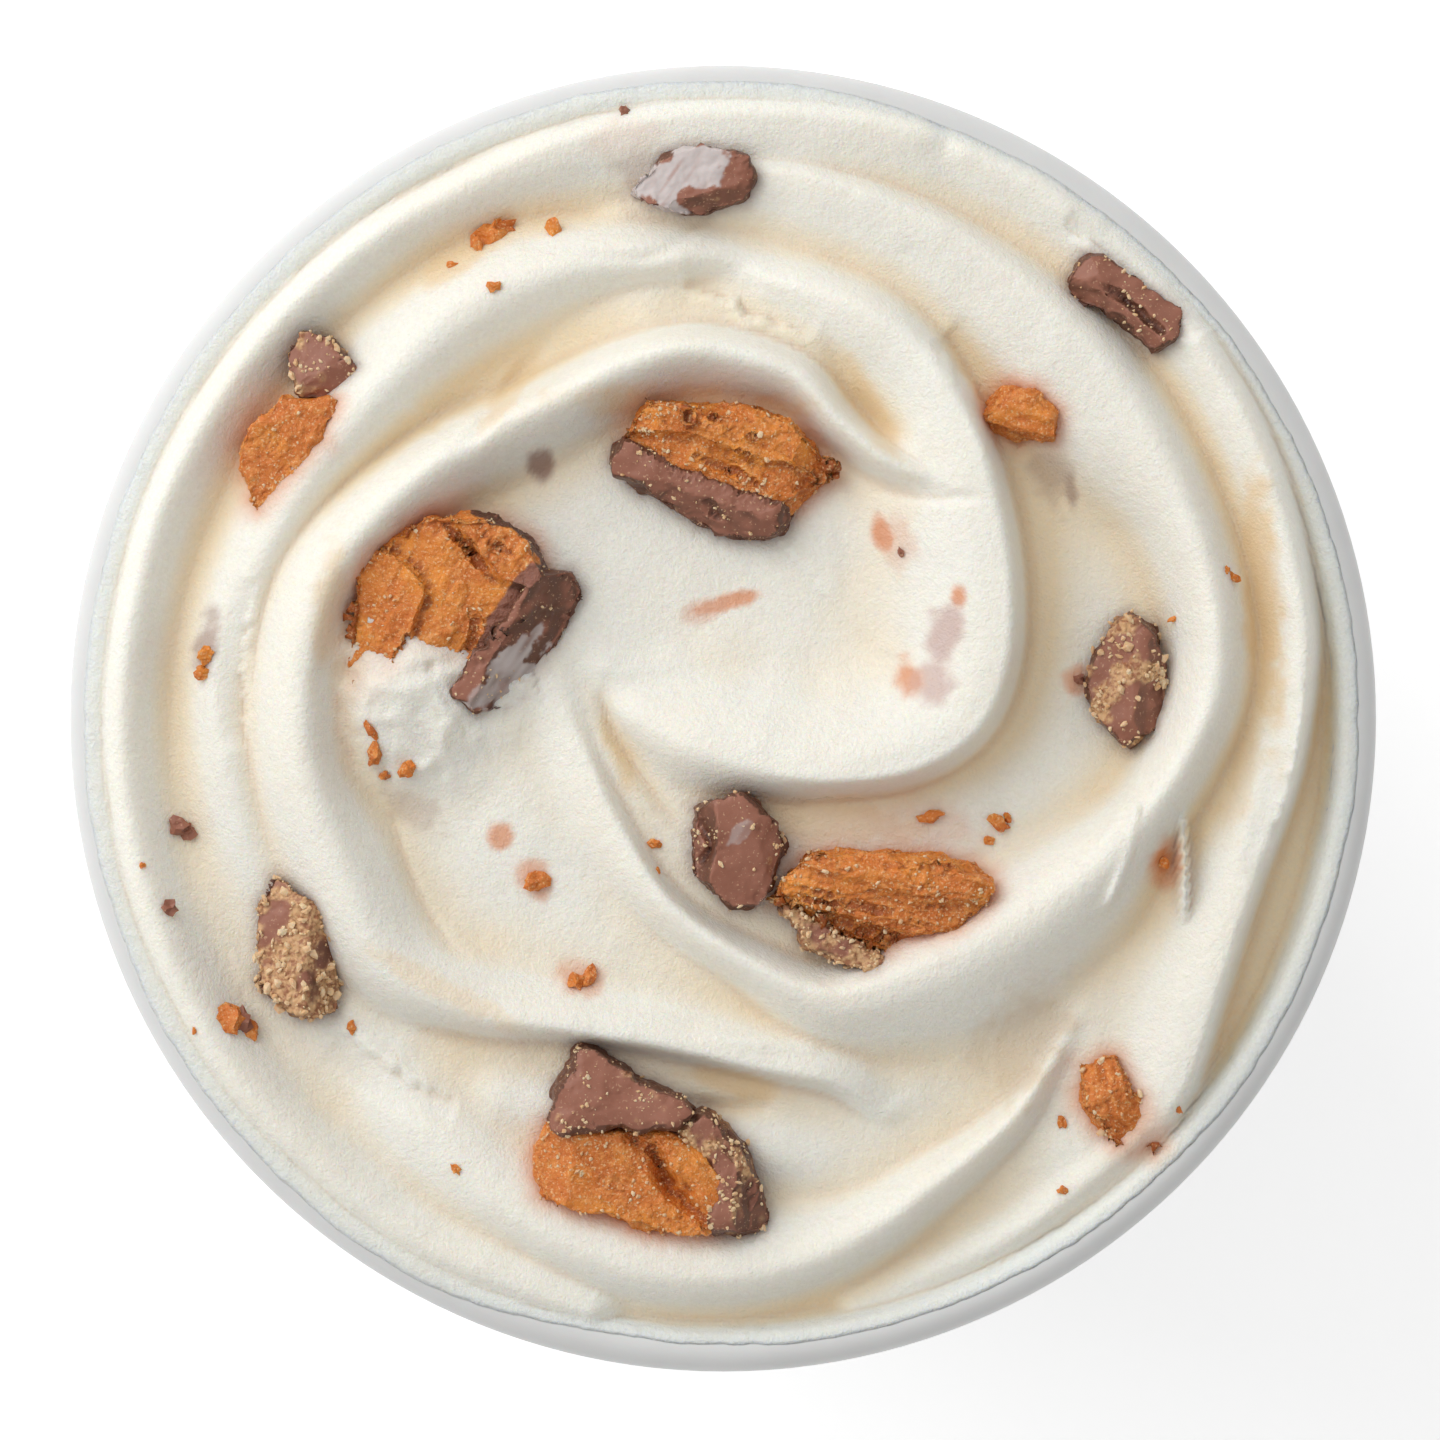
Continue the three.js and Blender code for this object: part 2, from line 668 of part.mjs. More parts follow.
function brokenPiece(corners, size) {
  const { bottom, top, slope, rough, layers, spacing, seed, grain = 0, cragRings = 2 } = size;
  const random = randomFrom(seed);
  const outline = outlineSteps(corners, spacing);
  const count = outline.length;
  const middle = middleOf(corners);
  const planks = Array.from({ length: 16 }, () => 1.6 * rough * random());
  const grainAngle = THREE.MathUtils.degToRad(grain);
  const topAt = ([x, y]) => {
    const [offX, offY] = [x - middle[0], y - middle[1]];
    const across = offY * Math.cos(grainAngle) - offX * Math.sin(grainAngle);
    const plank = planks[8 + Math.round(across / PLANK_WIDTH)];
    return top + slope[0] * offX + slope[1] * offY - plank;
  };
  const shrunk = ([x, y], inset) => {
    const distance = Math.hypot(x - middle[0], y - middle[1]);
    const share = 1 - inset / distance;
    return [middle[0] + share * (x - middle[0]), middle[1] + share * (y - middle[1])];
  };
  const points = [];
  for (let layer = 0; layer <= layers; layer++) {
    const end = layer === 0 || layer === layers ? 0.8 * rough : 0;
    const ledge = layer % 2 ? 0 : 0.7 * rough;
    outline.forEach((point) => {
      const place = shrunk(point, end + ledge + rough * random());
      const height = topAt(place) - rough * (layer === layers ? random() : 0);
      points.push([...place, THREE.MathUtils.lerp(bottom, height, layer / layers)]);
    });
  }
  for (let ring = 1; ring < cragRings; ring++) {
    outline.forEach((point) => {
      const distance = Math.hypot(point[0] - middle[0], point[1] - middle[1]);
      const place = shrunk(point, (distance * ring) / cragRings);
      points.push([...place, topAt(place) - 0.8 * rough * random()]);
    });
  }
  const levels = layers + cragRings - 1;
  const topMiddle = points.push([...middle, topAt(middle)]) - 1;
  const bottomMiddle = points.push([...middle, bottom]) - 1;
  const triangles = [];
  for (let i = 0; i < count; i++) {
    const next = (i + 1) % count;
    for (let level = 0; level < levels; level++) {
      const [low, high] = [level * count, (level + 1) * count];
      triangles.push([low + i, low + next, high + i], [high + i, low + next, high + next]);
    }
    triangles.push([levels * count + i, levels * count + next, topMiddle]);
    triangles.push([bottomMiddle, next, i]);
  }
  return geometryFrom(points, triangles);
}

// A pocket holds its piece with a gap all round: the same outline, grown and unbroken.
function pocketFor(corners, size) {
  const margins = { bottom: size.bottom - GAP, top: size.top + GAP, spacing: 99 };
  const plain = { ...size, ...margins, rough: 0, layers: 1, cragRings: 1 };
  return brokenPiece(grown(corners, GAP), plain);
}

function roughOval([x, y, length, breadth, turn], random) {
  const turnAngle = THREE.MathUtils.degToRad(turn);
  const count = 7;
  const corners = [];
  for (let i = 0; i < count; i++) {
    const angle = (2 * Math.PI * (i + 0.5 * random())) / count;
    const along = 0.5 * length * Math.cos(angle);
    const across = 0.5 * breadth * Math.sin(angle);
    corners.push([
      x + along * Math.cos(turnAngle) - across * Math.sin(turnAngle),
      y + along * Math.sin(turnAngle) + across * Math.cos(turnAngle),
    ]);
  }
  return corners;
}

// The part
const cup = new THREE.Group();
cup.name = "candy_ice_cream_cup";
const pockets = [];

function addMesh(name, geometry, look) {
  const mesh = new THREE.Mesh(geometry, new THREE.MeshStandardMaterial(look));
  mesh.name = name;
  cup.add(mesh);
}

function addPiece(name, corners, size, look) {
  addMesh(name, brokenPiece(corners, size), look);
  pockets.push(pocketFor(corners, size));
}

addMesh("cup_sleeve", turned(sleeveProfile()), PAPER_WHITE);
addMesh("cup_base", turned(baseProfile()), PAPER_WHITE);

let seed = 11;
for (const [name, chunk] of Object.entries(CHUNKS)) {
  const surface = iceHeight(...middleOf(chunk.corners));
  const shared = { bottom: surface - chunk.sunk, slope: chunk.slope, spacing: 2.6 };
  const relief = { rough: 0.6, layers: 5, grain: chunk.grain, cragRings: 3 };
  const core = { ...shared, ...relief, top: surface + chunk.stands, seed: seed++ };
  addPiece(name + "_crisp", chunk.corners, core, CRISP_ORANGE);
  for (const [coatName, coat] of Object.entries(chunk.coats)) {
    const size = { ...shared, top: surface + coat.stands, rough: 0.2, layers: 2, seed: seed++ };
    addPiece(name + "_" + coatName, coat.corners, size, MILK_CHOCOLATE);
  }
}

for (const [pieces, look] of [[CRISP_FLAKES, CRISP_ORANGE], [COATED_SHARDS, MILK_CHOCOLATE]]) {
  for (const [name, { corners, stands }] of Object.entries(pieces)) {
    const surface = iceHeight(...middleOf(corners));
    const size = { bottom: surface - 2, top: surface + stands, slope: [0, 0], spacing: 3 };
    addPiece(name, corners, { ...size, rough: 0.25, layers: 3, seed: seed++ }, look);
  }
}

let ice = toSolid(iceGeometry());
for (const pocket of pockets) ice = ice.subtract(toSolid(pocket));
for (const [x, y, size] of CRUMBS) {
  const place = [x, y, size, 0.75 * size, 40 * seed];
  const surface = iceHeight(x, y);
  const height = { bottom: surface - 0.8, top: surface + 0.3 * size, slope: [0, 0], spacing: size };
  const corners = roughOval(place, randomFrom(seed));
  const crumb = brokenPiece(corners, { ...height, rough: 0.1, layers: 1, seed: seed++ });
  ice = ice.add(toSolid(crumb));
}
addMesh("soft_ice_cream", fromSolid(ice), CREAM);

export default cup;
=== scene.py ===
import math
from random import Random

import bmesh
import bpy
import numpy as np
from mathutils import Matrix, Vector
from mathutils.bvhtree import BVHTree


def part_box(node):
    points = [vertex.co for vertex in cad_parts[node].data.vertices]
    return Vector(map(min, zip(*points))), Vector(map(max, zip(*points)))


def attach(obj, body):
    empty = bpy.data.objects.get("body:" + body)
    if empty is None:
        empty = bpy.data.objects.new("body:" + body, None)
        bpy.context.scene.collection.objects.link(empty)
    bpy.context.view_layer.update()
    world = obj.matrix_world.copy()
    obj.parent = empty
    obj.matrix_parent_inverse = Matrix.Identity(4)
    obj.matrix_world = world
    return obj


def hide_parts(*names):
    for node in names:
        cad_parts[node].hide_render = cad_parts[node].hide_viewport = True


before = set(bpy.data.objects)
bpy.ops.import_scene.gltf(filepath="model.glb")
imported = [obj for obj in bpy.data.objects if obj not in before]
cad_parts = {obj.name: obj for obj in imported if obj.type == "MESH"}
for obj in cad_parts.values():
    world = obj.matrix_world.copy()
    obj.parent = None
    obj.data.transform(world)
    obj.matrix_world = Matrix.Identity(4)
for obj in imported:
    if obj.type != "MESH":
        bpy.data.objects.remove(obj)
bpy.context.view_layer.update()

# Sizes in metres, the larger ones taken from the frame. Ice cream under the last height is out of sight.
MM = 0.001
SLEEVE_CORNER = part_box("cup_sleeve")[1]
RIM_RADIUS = SLEEVE_CORNER.x
RIM_HEIGHT = SLEEVE_CORNER.z
PAPER = 0.5 * MM
CURL_RADIUS = 1.6 * MM
CURL_CENTRE = RIM_RADIUS - CURL_RADIUS
CURL_HEIGHT = RIM_HEIGHT - CURL_RADIUS
FOOT_RADIUS = 33 * MM
ICE_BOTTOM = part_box("soft_ice_cream")[0].z
HIDDEN_BELOW = RIM_HEIGHT - 5 * MM


def select_only(piece):
    bpy.ops.object.select_all(action="DESELECT")
    piece.select_set(True)
    bpy.context.view_layer.objects.active = piece


def edit_all(piece):
    select_only(piece)
    bpy.ops.object.mode_set(mode="EDIT")
    bpy.ops.mesh.select_all(action="SELECT")


def leave_edit():
    """Turns the selected faces outwards and leaves edit mode."""
    bpy.ops.mesh.normals_make_consistent(inside=False)
    bpy.ops.object.mode_set(mode="OBJECT")


def named(piece, name):
    piece.name = name
    piece.data.name = name
    return piece


def add_object(name, data):
    piece = bpy.data.objects.new(name, data)
    bpy.context.scene.collection.objects.link(piece)
    return piece


def triples(items, name):
    """One vector of each item, as rows of an array."""
    flat = np.empty(len(items) * 3)
    items.foreach_get(name, flat)
    return flat.reshape(-1, 3)


def vertex_array(piece):
    return triples(piece.data.vertices, "co")


def normal_array(piece):
    return triples(piece.data.vertex_normals, "vector")


def set_vertices(piece, points):
    piece.data.vertices.foreach_set("co", points.ravel())
    piece.data.update()


def add_attribute(piece, name, values):
    attribute = piece.data.attributes.new(name, "FLOAT", "POINT")
    attribute.data.foreach_set("value", values.astype(np.float32))


def flat_points(x, y):
    return np.stack([x, y, np.zeros(x.shape)], axis=1)


def smooth_step(share):
    return share * share * (3 - 2 * share)


def ease(value, start, end):
    """Rises smoothly from 0 at the start to 1 at the end."""
    return smooth_step(np.clip((value - start) / (end - start), 0, 1))


def turned(x, y, degrees):
    """Distances along a direction in plan and across it, to its left."""
    angle = math.radians(degrees)
    along = x * math.cos(angle) + y * math.sin(angle)
    across = y * math.cos(angle) - x * math.sin(angle)
    return along, across


def along_grain(points, degrees):
    along, across = turned(points[:, 0], points[:, 1], degrees)
    return np.stack([along, across, points[:, 2]], axis=1)


def oval_distance(spots, x, y, length, breadth, degrees):
    """Distance from the middle of a turned oval, as a share of the way to its edge."""
    along, across = turned(spots[:, 0] - x, spots[:, 1] - y, degrees)
    return np.hypot(along / (0.5 * length), across / (0.5 * breadth))


# Seeded noise on arrays of points
def lattice_value(cell, seed):
    mixed = cell[..., 0] * 374761393 + cell[..., 1] * 668265263 + cell[..., 2] * 1103515245
    mixed = (mixed + seed * 974634777) & 0xFFFFFFFF
    mixed = ((mixed ^ (mixed >> 13)) * 1274126177) & 0xFFFFFFFF
    mixed = ((mixed ^ (mixed >> 15)) * 2246822519) & 0xFFFFFFFF
    return ((mixed ^ (mixed >> 16)) & 0xFFFFFF) / 0xFFFFFF


def soft_noise(points, seed):
    cell = np.floor(points).astype(np.int64)
    share = smooth_step(points - cell)
    total = np.zeros(len(points))
    for corner in np.ndindex(2, 2, 2):
        weight = np.ones(len(points))
        for axis, side in enumerate(corner):
            weight *= share[:, axis] if side else 1 - share[:, axis]
        total += weight * lattice_value(cell + np.array(corner), seed)
    return 2 * total - 1


def layered_noise(points, octaves, seed):
    total = np.zeros(len(points))
    size = 1.0
    for octave in range(octaves):
        total += size * soft_noise(points / size, seed + octave)
        size *= 0.5
    return total / (2 - 2 * size)


def flake_cells(points, seed):
    """The random value of the nearest flake and how far the point is inside it."""
    cell = np.floor(points).astype(np.int64)
    nearest = np.full(len(points), 1e9)
    second = np.full(len(points), 1e9)
    value = np.zeros(len(points))
    for shift in np.ndindex(3, 3, 3):
        other = cell + np.array(shift) - 1
        centre = np.stack([lattice_value(other, seed + axis) for axis in range(3)], axis=1)
        distance = np.linalg.norm(other + centre - points, axis=1)
        closer = distance < nearest
        second = np.where(closer, nearest, np.minimum(second, distance))
        value = np.where(closer, lattice_value(other, seed + 3), value)
        nearest = np.where(closer, distance, nearest)
    return value, second - nearest


# Folds of the swirl in millimetres. Each knot is x, y, crest height above the rim, width to the left of
# the way that the fold runs and width to its right. The first pair is the feet on the left and right.
FOLDS = {
    "centre_hook": [
        (1.6, -1.6), (-8.8, 1.9, 1, 2, 1.4), (-6.2, 0.2, 2.6, 4, 4), (-2.5, -1.7, 3.9, 7, 6),
        (2, -3.3, 4.8, 9, 4.6), (7.5, -4.2, 5.6, 10, 3), (13.5, -3.5, 6.2, 11, 2.6),
        (18, -0.8, 6.6, 11, 2.4), (20.1, 3.6, 6.7, 11.5, 2.4), (20.5, 9, 6.6, 12, 2.4),
        (19.7, 15, 6.2, 12, 2.4), (18, 20.4, 5.6, 10, 2.6), (15, 25.4, 4.8, 7, 4), (11, 28.8, 4, 6, 5),
        (5.5, 31, 2.8, 5, 5), (-2, 32.5, 0.8, 5, 5),
    ],
    "centre_collar": [
        (0, -3.4), (18.6, 16.2, 3.4, 1.8, 2.4), (16, 17, 4.6, 2.2, 3), (12.2, 18.4, 5.2, 2.6, 3.4),
        (8.6, 21.2, 5.4, 2.8, 3.6), (5, 24.8, 5.4, 3.4, 4), (-1.5, 26.6, 5.3, 4.2, 4.4),
        (-7, 25.4, 5.2, 4.6, 4.6), (-13, 22.4, 5, 5, 4.8), (-19.6, 19, 5, 5, 5.4),
        (-24.8, 14.6, 5, 4, 7), (-28.6, 9.6, 4.9, 4, 8.5), (-30.2, 3, 4.7, 4, 8.5),
        (-29.9, -4, 4.4, 4.4, 8.5), (-27.4, -10.6, 4, 5.4, 8.5), (-24, -17.4, 3.6, 6.4, 7),
        (-18, -21.2, 3.4, 6, 3.6), (-11, -22.4, 3.3, 5, 2.4), (-4, -23.6, 3, 5, 2.2),
        (3, -25.2, 2.8, 5, 2.2), (8, -26.2, 2.2, 4.5, 2.6), (11.5, -28.5, 0.4, 3, 3),
    ],
    "left_band": [
        (-0.8, -2.2), (4, 33, 0.4, 3, 4), (-3, 33.2, 2.4, 3.4, 5), (-9, 32.9, 2.9, 4.4, 6),
        (-15, 31.2, 3.1, 5.6, 7), (-20.4, 27.8, 3.2, 6, 7.6), (-25.6, 22.6, 3.1, 5, 7.6),
        (-30.6, 16.4, 2.8, 4, 7), (-34.4, 9, 2.2, 4, 6.4), (-36, 1, 1.6, 4.5, 5.6),
        (-34.6, -8, 0.8, 5, 5.6), (-30, -17, -1, 6, 6),
    ],
    "left_rim_band": [
        (-1.2, -3), (14, 42.4, 0.9, 9, 4), (6, 43.4, 1.1, 10, 4), (-3, 43.4, 1.4, 10, 4),
        (-11, 41.6, 1.6, 7, 4), (-18, 38.8, 1.7, 4.6, 4), (-26.5, 33.8, 1.7, 4, 4),
        (-34.6, 25.8, 1.7, 4, 4), (-40.6, 15.2, 1.6, 4, 4), (-43.2, 4, 1.5, 3.6, 4),
        (-43.2, -5, 1.4, 3.6, 4), (-41.2, -14, 1.3, 3.6, 4), (-36.8, -23.6, 1.1, 4, 4),
        (-30.4, -31.2, 0.9, 4, 4), (-22, -37.8, 0.7, 4, 4), (-10, -43, 0.2, 4, 3),
    ],
    "right_spiral": [
        (-1.8, -0.8), (-8, 36.4, -0.2, 3.2, 4), (1.5, 39.4, 1.3, 2.6, 6), (9, 38.2, 2, 2.8, 9),
        (17.2, 34.4, 2.5, 3.4, 13), (24.2, 29, 3, 4.4, 14), (29.2, 23, 3.6, 5, 12), (33, 16, 4.3, 5, 7),
        (35.2, 9, 4.8, 5, 5.4), (35.4, 2.6, 4.9, 5, 5.4), (33.4, -2.6, 4.9, 5, 5),
        (30.4, -7, 4.9, 5.6, 4.6), (26.4, -11.2, 4.9, 8, 6.6), (21, -15, 4.9, 9.5, 7.6),
        (14.5, -18.2, 4.7, 10, 6.4), (8, -19.9, 4.3, 7.5, 3.6), (2, -17.6, 4, 4.2, 2.8),
        (-3.6, -13.6, 3.6, 4.6, 2), (-7.4, -8, 3, 7, 1.8), (-10.2, -2, 2, 8, 2), (-13, 4, 1.2, 9, 5),
    ],
    "right_rim_band": [
        (-3.4, -0.1), (18, 41.2, 0.8, 6, 4), (25, 37, 1.3, 5, 4), (31.4, 31.2, 1.8, 3.6, 4.2),
        (36.6, 23.8, 2.4, 3.2, 4.6), (39.8, 16.6, 2.9, 3, 4.6), (41.6, 9.5, 3.1, 2.6, 4.4),
        (42, 4, 3.2, 2.4, 4.4), (40.8, -3.7, 3.3, 2.4, 5.4), (38.2, -11.4, 3.3, 2.2, 7),
        (35.8, -19, 2.9, 2.2, 7.6), (33.9, -25.1, 2, 2.2, 7), (32.2, -28.6, 1, 2.4, 6),
        (31, -31.6, -0.6, 2.4, 5),
    ],
    "front_band": [
        (-2.6, -3.4), (26.2, -20.6, -0.6, 2.6, 2), (23.4, -25.4, 0.9, 2.8, 2), (21, -28.8, 1.7, 3, 2.6),
        (18, -31.6, 2.1, 3.2, 3.6), (15, -33.9, 2.3, 3.6, 4.6), (11, -36.8, 2.3, 4, 6),
        (6.4, -39, 2.2, 4.4, 8), (0.6, -40.2, 2.1, 4.6, 10), (-6, -39.8, 1.9, 4.6, 10),
        (-13, -36.8, 1.5, 5, 10), (-21, -30, 0.6, 8, 9), (-29, -18, -1.6, 9, 9),
    ],
    "front_rim_band": [
        (-2.8, -3.6), (33.4, -26.5, 0.8, 2.4, 5), (29.6, -30.8, 0.5, 2.6, 5), (24.6, -34.9, 0.3, 3, 4.6),
        (19, -38.6, -0.1, 3.2, 4.4), (10, -42.6, -1.2, 3.4, 4),
    ],
    "front_shelf": [
        (-0.6, -1.2), (-16, -27.5, 0.2, 4, 4), (-8, -29, 0.9, 4, 4), (2, -31, 0.8, 4, 4),
        (9, -32.4, -0.4, 4, 4),
    ],
    "right_fin": [
        (-1, -1), (33.2, -6.2, 2.8, 0.7, 1), (33.3, -8.8, 3.5, 0.6, 0.9), (33.4, -11.4, 3.4, 0.6, 0.9),
        (33.4, -13.8, 2.6, 0.7, 1), (33.4, -15.6, 0.8, 0.7, 1),
    ],
    "right_shoulder": [
        (-1, -1), (29.8, -6.4, 5, 1.2, 1.6), (29.2, -9.4, 5, 1.2, 1.8), (28, -12.6, 4.6, 1.2, 1.6),
        (27.2, -13.8, 3.4, 1, 1.2),
    ],
}

# How softly the folds meet, how steeply the ice cream falls past a fold's feet, how far from its knots a fold
# can reach and a height far below everything, in millimetres
FOLD_SOFTNESS = 0.3
FOOT_FALL = 0.9
NEAR_FOLD = 15
NOWHERE = -99.0

# The swirl's floor between the folds in millimetres: its radius, its height in the middle and its fall
FLOOR_RADIUS = 44
FLOOR_MIDDLE = 1.2
FLOOR_FALL = 3.6

# Grooves in millimetres, a negative depth being a thin ridge: half the breadth, then knots of x, y, depth
GROOVES = {
    "hook_tip": [
        0.5, (-8.8, 1.6, 0.3), (-8.1, -0.8, 0.7), (-6, -4.1, 0.8), (-4.2, -6.6, 0.6), (-2.4, -8.4, 0.2),
    ],
    "upper_crease": [
        0.6, (-19.4, 19.6, 0.2), (-17.6, 20.9, 0.8), (-16.2, 23.1, 0.6), (-14, 26, 0.3),
        (-11.8, 27.8, 0),
    ],
    "back_crease": [
        0.45, (-14, 34.1, 0.1), (-8.9, 33.5, 0.25), (-5.3, 33.4, 0.3), (-2.4, 35.3, 0.3), (-0.5, 37, 0),
    ],
    "hook_end": [0.4, (10, 16.8, 0), (13.6, 16.1, 0.35), (17.2, 15.9, 0.3), (19, 15.9, 0)],
    "collar_groove": [
        0.9, (7.2, 28, 0.2), (8.4, 25.4, 0.7), (9.8, 23, 0.9), (11.4, 21.2, 0.9), (13.9, 20, 0),
    ],
    "left_crease": [
        0.5, (-24.4, -5, 0), (-23.4, -9.5, 0.35), (-22, -13.2, 0.4), (-20.2, -16, 0.4),
        (-18.4, -17.9, 0),
    ],
    "glossy_ridge": [0.4, (30.6, -1.6, 0), (30, -4.4, -0.3), (28.2, -7.6, -0.3), (26.6, -9.6, 0)],
    "ledge_hollow": [0.6, (-2.4, -27.9, 0.6), (0, -28.3, 1), (2.7, -28.2, 0.4)],
    "ledge_ridge": [0.5, (-2.4, -22.6, 0), (1, -23.2, -0.35), (5.6, -23.8, -0.3), (7, -24, 0)],
}

# Torn edges: how far the ice cream drops on the right of each line, over what reach the drop ends, and
# its knots
TORN_EDGES = {
    "above_right_flake": [0.8, 4, (21.4, 19.4), (19.2, 22.2), (17.4, 24.4), (15, 27)],
    "above_back_lobe": [0.6, 3, (6.4, 27.4), (3.4, 28.6), (1.6, 29), (0.4, 30.4), (-3, 31)],
    "upper_right_rim": [0.7, 3, (33.6, 27), (30.4, 30.8), (27.6, 33.4), (24.4, 35.4)],
    "right_edge": [0.5, 2.6, (41.4, 2), (41.2, -3), (40, -8), (38.8, -12.4)],
    "left_edge": [0.5, 2.6, (-33.6, 10), (-34.6, 4.4), (-34.4, -2)],
    "lower_left_edge": [0.5, 3, (-27.6, -22.6), (-23.6, -25.6), (-19, -27.6)],
}


def curve_through(knots, steps):
    """Points of a smooth curve through knots of x, y and any further values."""
    knots = np.array(knots, float)
    ends = [2 * knots[0] - knots[1], 2 * knots[-1] - knots[-2]]
    rows = np.vstack([ends[0], knots, ends[1]])
    curve = []
    for before, start, end, after in zip(rows, rows[1:], rows[2:], rows[3:]):
        share = np.linspace(0, 1, steps, endpoint=False)[:, None]
        square = 2 * before - 5 * start + 4 * end - after
        cube = 3 * start - before - 3 * end + after
        curve.append(0.5 * (2 * start + (end - before) * share + square * share**2 + cube * share**3))
    return np.vstack([*curve, knots[-1]])


def nearest_on(curve, x, y):
    """The distance to a curve, the side (left is positive), how far along it is and the values there."""
    distance = np.full(x.shape, 1e9)
    side = np.zeros(x.shape)
    along = np.zeros(x.shape)
    values = np.zeros((curve.shape[1] - 2, len(x)))
    gone = 0.0
    for start, end in zip(curve, curve[1:]):
        step = end[:2] - start[:2]
        length = np.hypot(*step)
        share = np.clip(((x - start[0]) * step[0] + (y - start[1]) * step[1]) / length**2, 0, 1)
        off_x = x - start[0] - share * step[0]
        off_y = y - start[1] - share * step[1]
        reach = np.hypot(off_x, off_y)
        closer = reach < distance
        distance[closer] = reach[closer]
        side[closer] = ((step[0] * off_y - step[1] * off_x) / length)[closer]
        along[closer] = gone + share[closer] * length
        values[:, closer] = start[2:, None] + share[closer] * (end[2:] - start[2:])[:, None]
        gone += length
    return distance, side, along, values


def near_curve(curve, reach, x, y):
    """Which points are within reach of the box round a curve."""
    low = curve[:, :2].min(axis=0) - reach
    high = curve[:, :2].max(axis=0) + reach
    return (x > low[0]) & (x < high[0]) & (y > low[1]) & (y < high[1])


def fold_height(fold, x, y):
    """Height of one fold, how far each point is to the left of its crest, and how far along it."""
    (foot_left, foot_right), knots = fold[0], fold[1:]
    distance, side, along, (crest, left, right) = nearest_on(curve_through(knots, 16), x, y)
    share = smooth_step(np.clip(side / np.maximum(distance, 0.4), -1, 1) * 0.5 + 0.5)
    away = distance / (left * share + right * (1 - share))
    foot = foot_left * share + foot_right * (1 - share)
    slope = 0.5 + 0.5 * np.cos(np.pi * np.minimum(away, 1))
    height = foot + (crest - foot) * slope - FOOT_FALL * np.maximum(away - 1, 0)
    return height, distance * np.sign(side), along


def groove_depth(groove, x, y):
    """How far a groove or crack sinks the surface."""
    breadth, *knots = groove
    distance, _, _, (depth,) = nearest_on(curve_through(knots, 6), x, y)
    return depth * np.exp(-((distance / breadth) ** 2))


def torn_drop(torn, x, y):
    """How far the surface drops on the right of a torn edge, which is ragged and has a raised lip."""
    drop, reach, *knots = torn
    curve = curve_through(knots, 8)
    distance, side, along, _ = nearest_on(curve, x, y)
    off = -side + 0.45 * layered_noise(flat_points(x, y) / 0.9, 3, 61)
    share = along / np.hypot(*np.diff(curve, axis=0).T).sum()
    fade = np.sqrt(np.clip(4 * share * (1 - share), 0, 1)) * (1 - ease(distance, 0.4 * reach, reach))
    lip = 0.22 * np.exp(-(((off + 0.3) / 0.35) ** 2))
    return fade * (drop * ease(off, -0.1, 0.35) - lip)


def swirl_height(x, y):
    """Height of the swirl above the rim in millimetres, and the fine ripples that run along its folds."""
    share = np.minimum(np.hypot(x, y) / FLOOR_RADIUS, 1.06)
    heights = [FLOOR_MIDDLE - FLOOR_FALL * share**2.4]
    ripples = [np.zeros(x.shape)]
    for number, fold in enumerate(FOLDS.values()):
        height = np.full(x.shape, NOWHERE)
        ripple = np.zeros(x.shape)
        near = near_curve(np.array(fold[1:]), NEAR_FOLD, x, y)
        height[near], across, along = fold_height(fold, x[near], y[near])
        spot = np.stack([across / 1.6, along / 22, np.full(across.shape, 7.3 * number)], axis=1)
        fine = np.stack([across / 0.62, along / 9, np.full(across.shape, 3.1 * number)], axis=1)
        ripple[near] = soft_noise(spot, 5) + 0.45 * soft_noise(fine, 9)
        heights.append(height)
        ripples.append(ripple)
    heights = np.stack(heights)
    top = heights.max(axis=0)
    weights = np.exp((heights - top) / FOLD_SOFTNESS)
    total = weights.sum(axis=0)
    height = top + FOLD_SOFTNESS * np.log(total)
    for groove in GROOVES.values():
        near = near_curve(np.array(groove[1:]), 3 * groove[0], x, y)
        height[near] -= groove_depth(groove, x[near], y[near])
    for torn in TORN_EDGES.values():
        near = near_curve(np.array(torn[2:]), torn[1], x, y)
        height[near] -= torn_drop(torn, x[near], y[near])
    return height, (weights * np.stack(ripples)).sum(axis=0) / total


# The ice cream. A film of it lies over the rolled rim, falls away inside the rim and thins at its edge.
ICE_STEPS = 296
FILM = 0.28 * MM
FILM_FALL = 2.4 * MM
FILM_INSIDE = (42.4 * MM, 44.6 * MM)
FILM_BLEND = 0.12 * MM
THIN_REACH = 1.3 * MM
THIN_EDGE = 0.03 * MM
SKIRT_GAP = 0.15 * MM
SKIRT_DROP = 8 * MM
EDGE_INSET = 0.1 * MM
WALL_GAP = 0.2 * MM
ICE_RELIEF = 0.3 * MM
VALLEY_DEPTH = 1.7 * MM

# Ice cream smeared over the lower end of the left chunk, in millimetres and degrees
SMEAR_MIDDLE = (-22.8, -0.9)
SMEAR_LENGTH = 4.9
SMEAR_BREADTH = 4.6
SMEAR_BEARING = 262
SMEAR_TOP = 2.75
SMEAR_FALL = 0.35

# How far out the ice cream laps over the rolled rim: angles in degrees and the edge's radius there
EDGE_ANGLES = [0, 60, 95, 240, 258, 300, 330, 360]
EDGE_RADII = [46.1, 45.9, 46.3, 46.4, 45.4, 45.7, 46.1, 46.1]


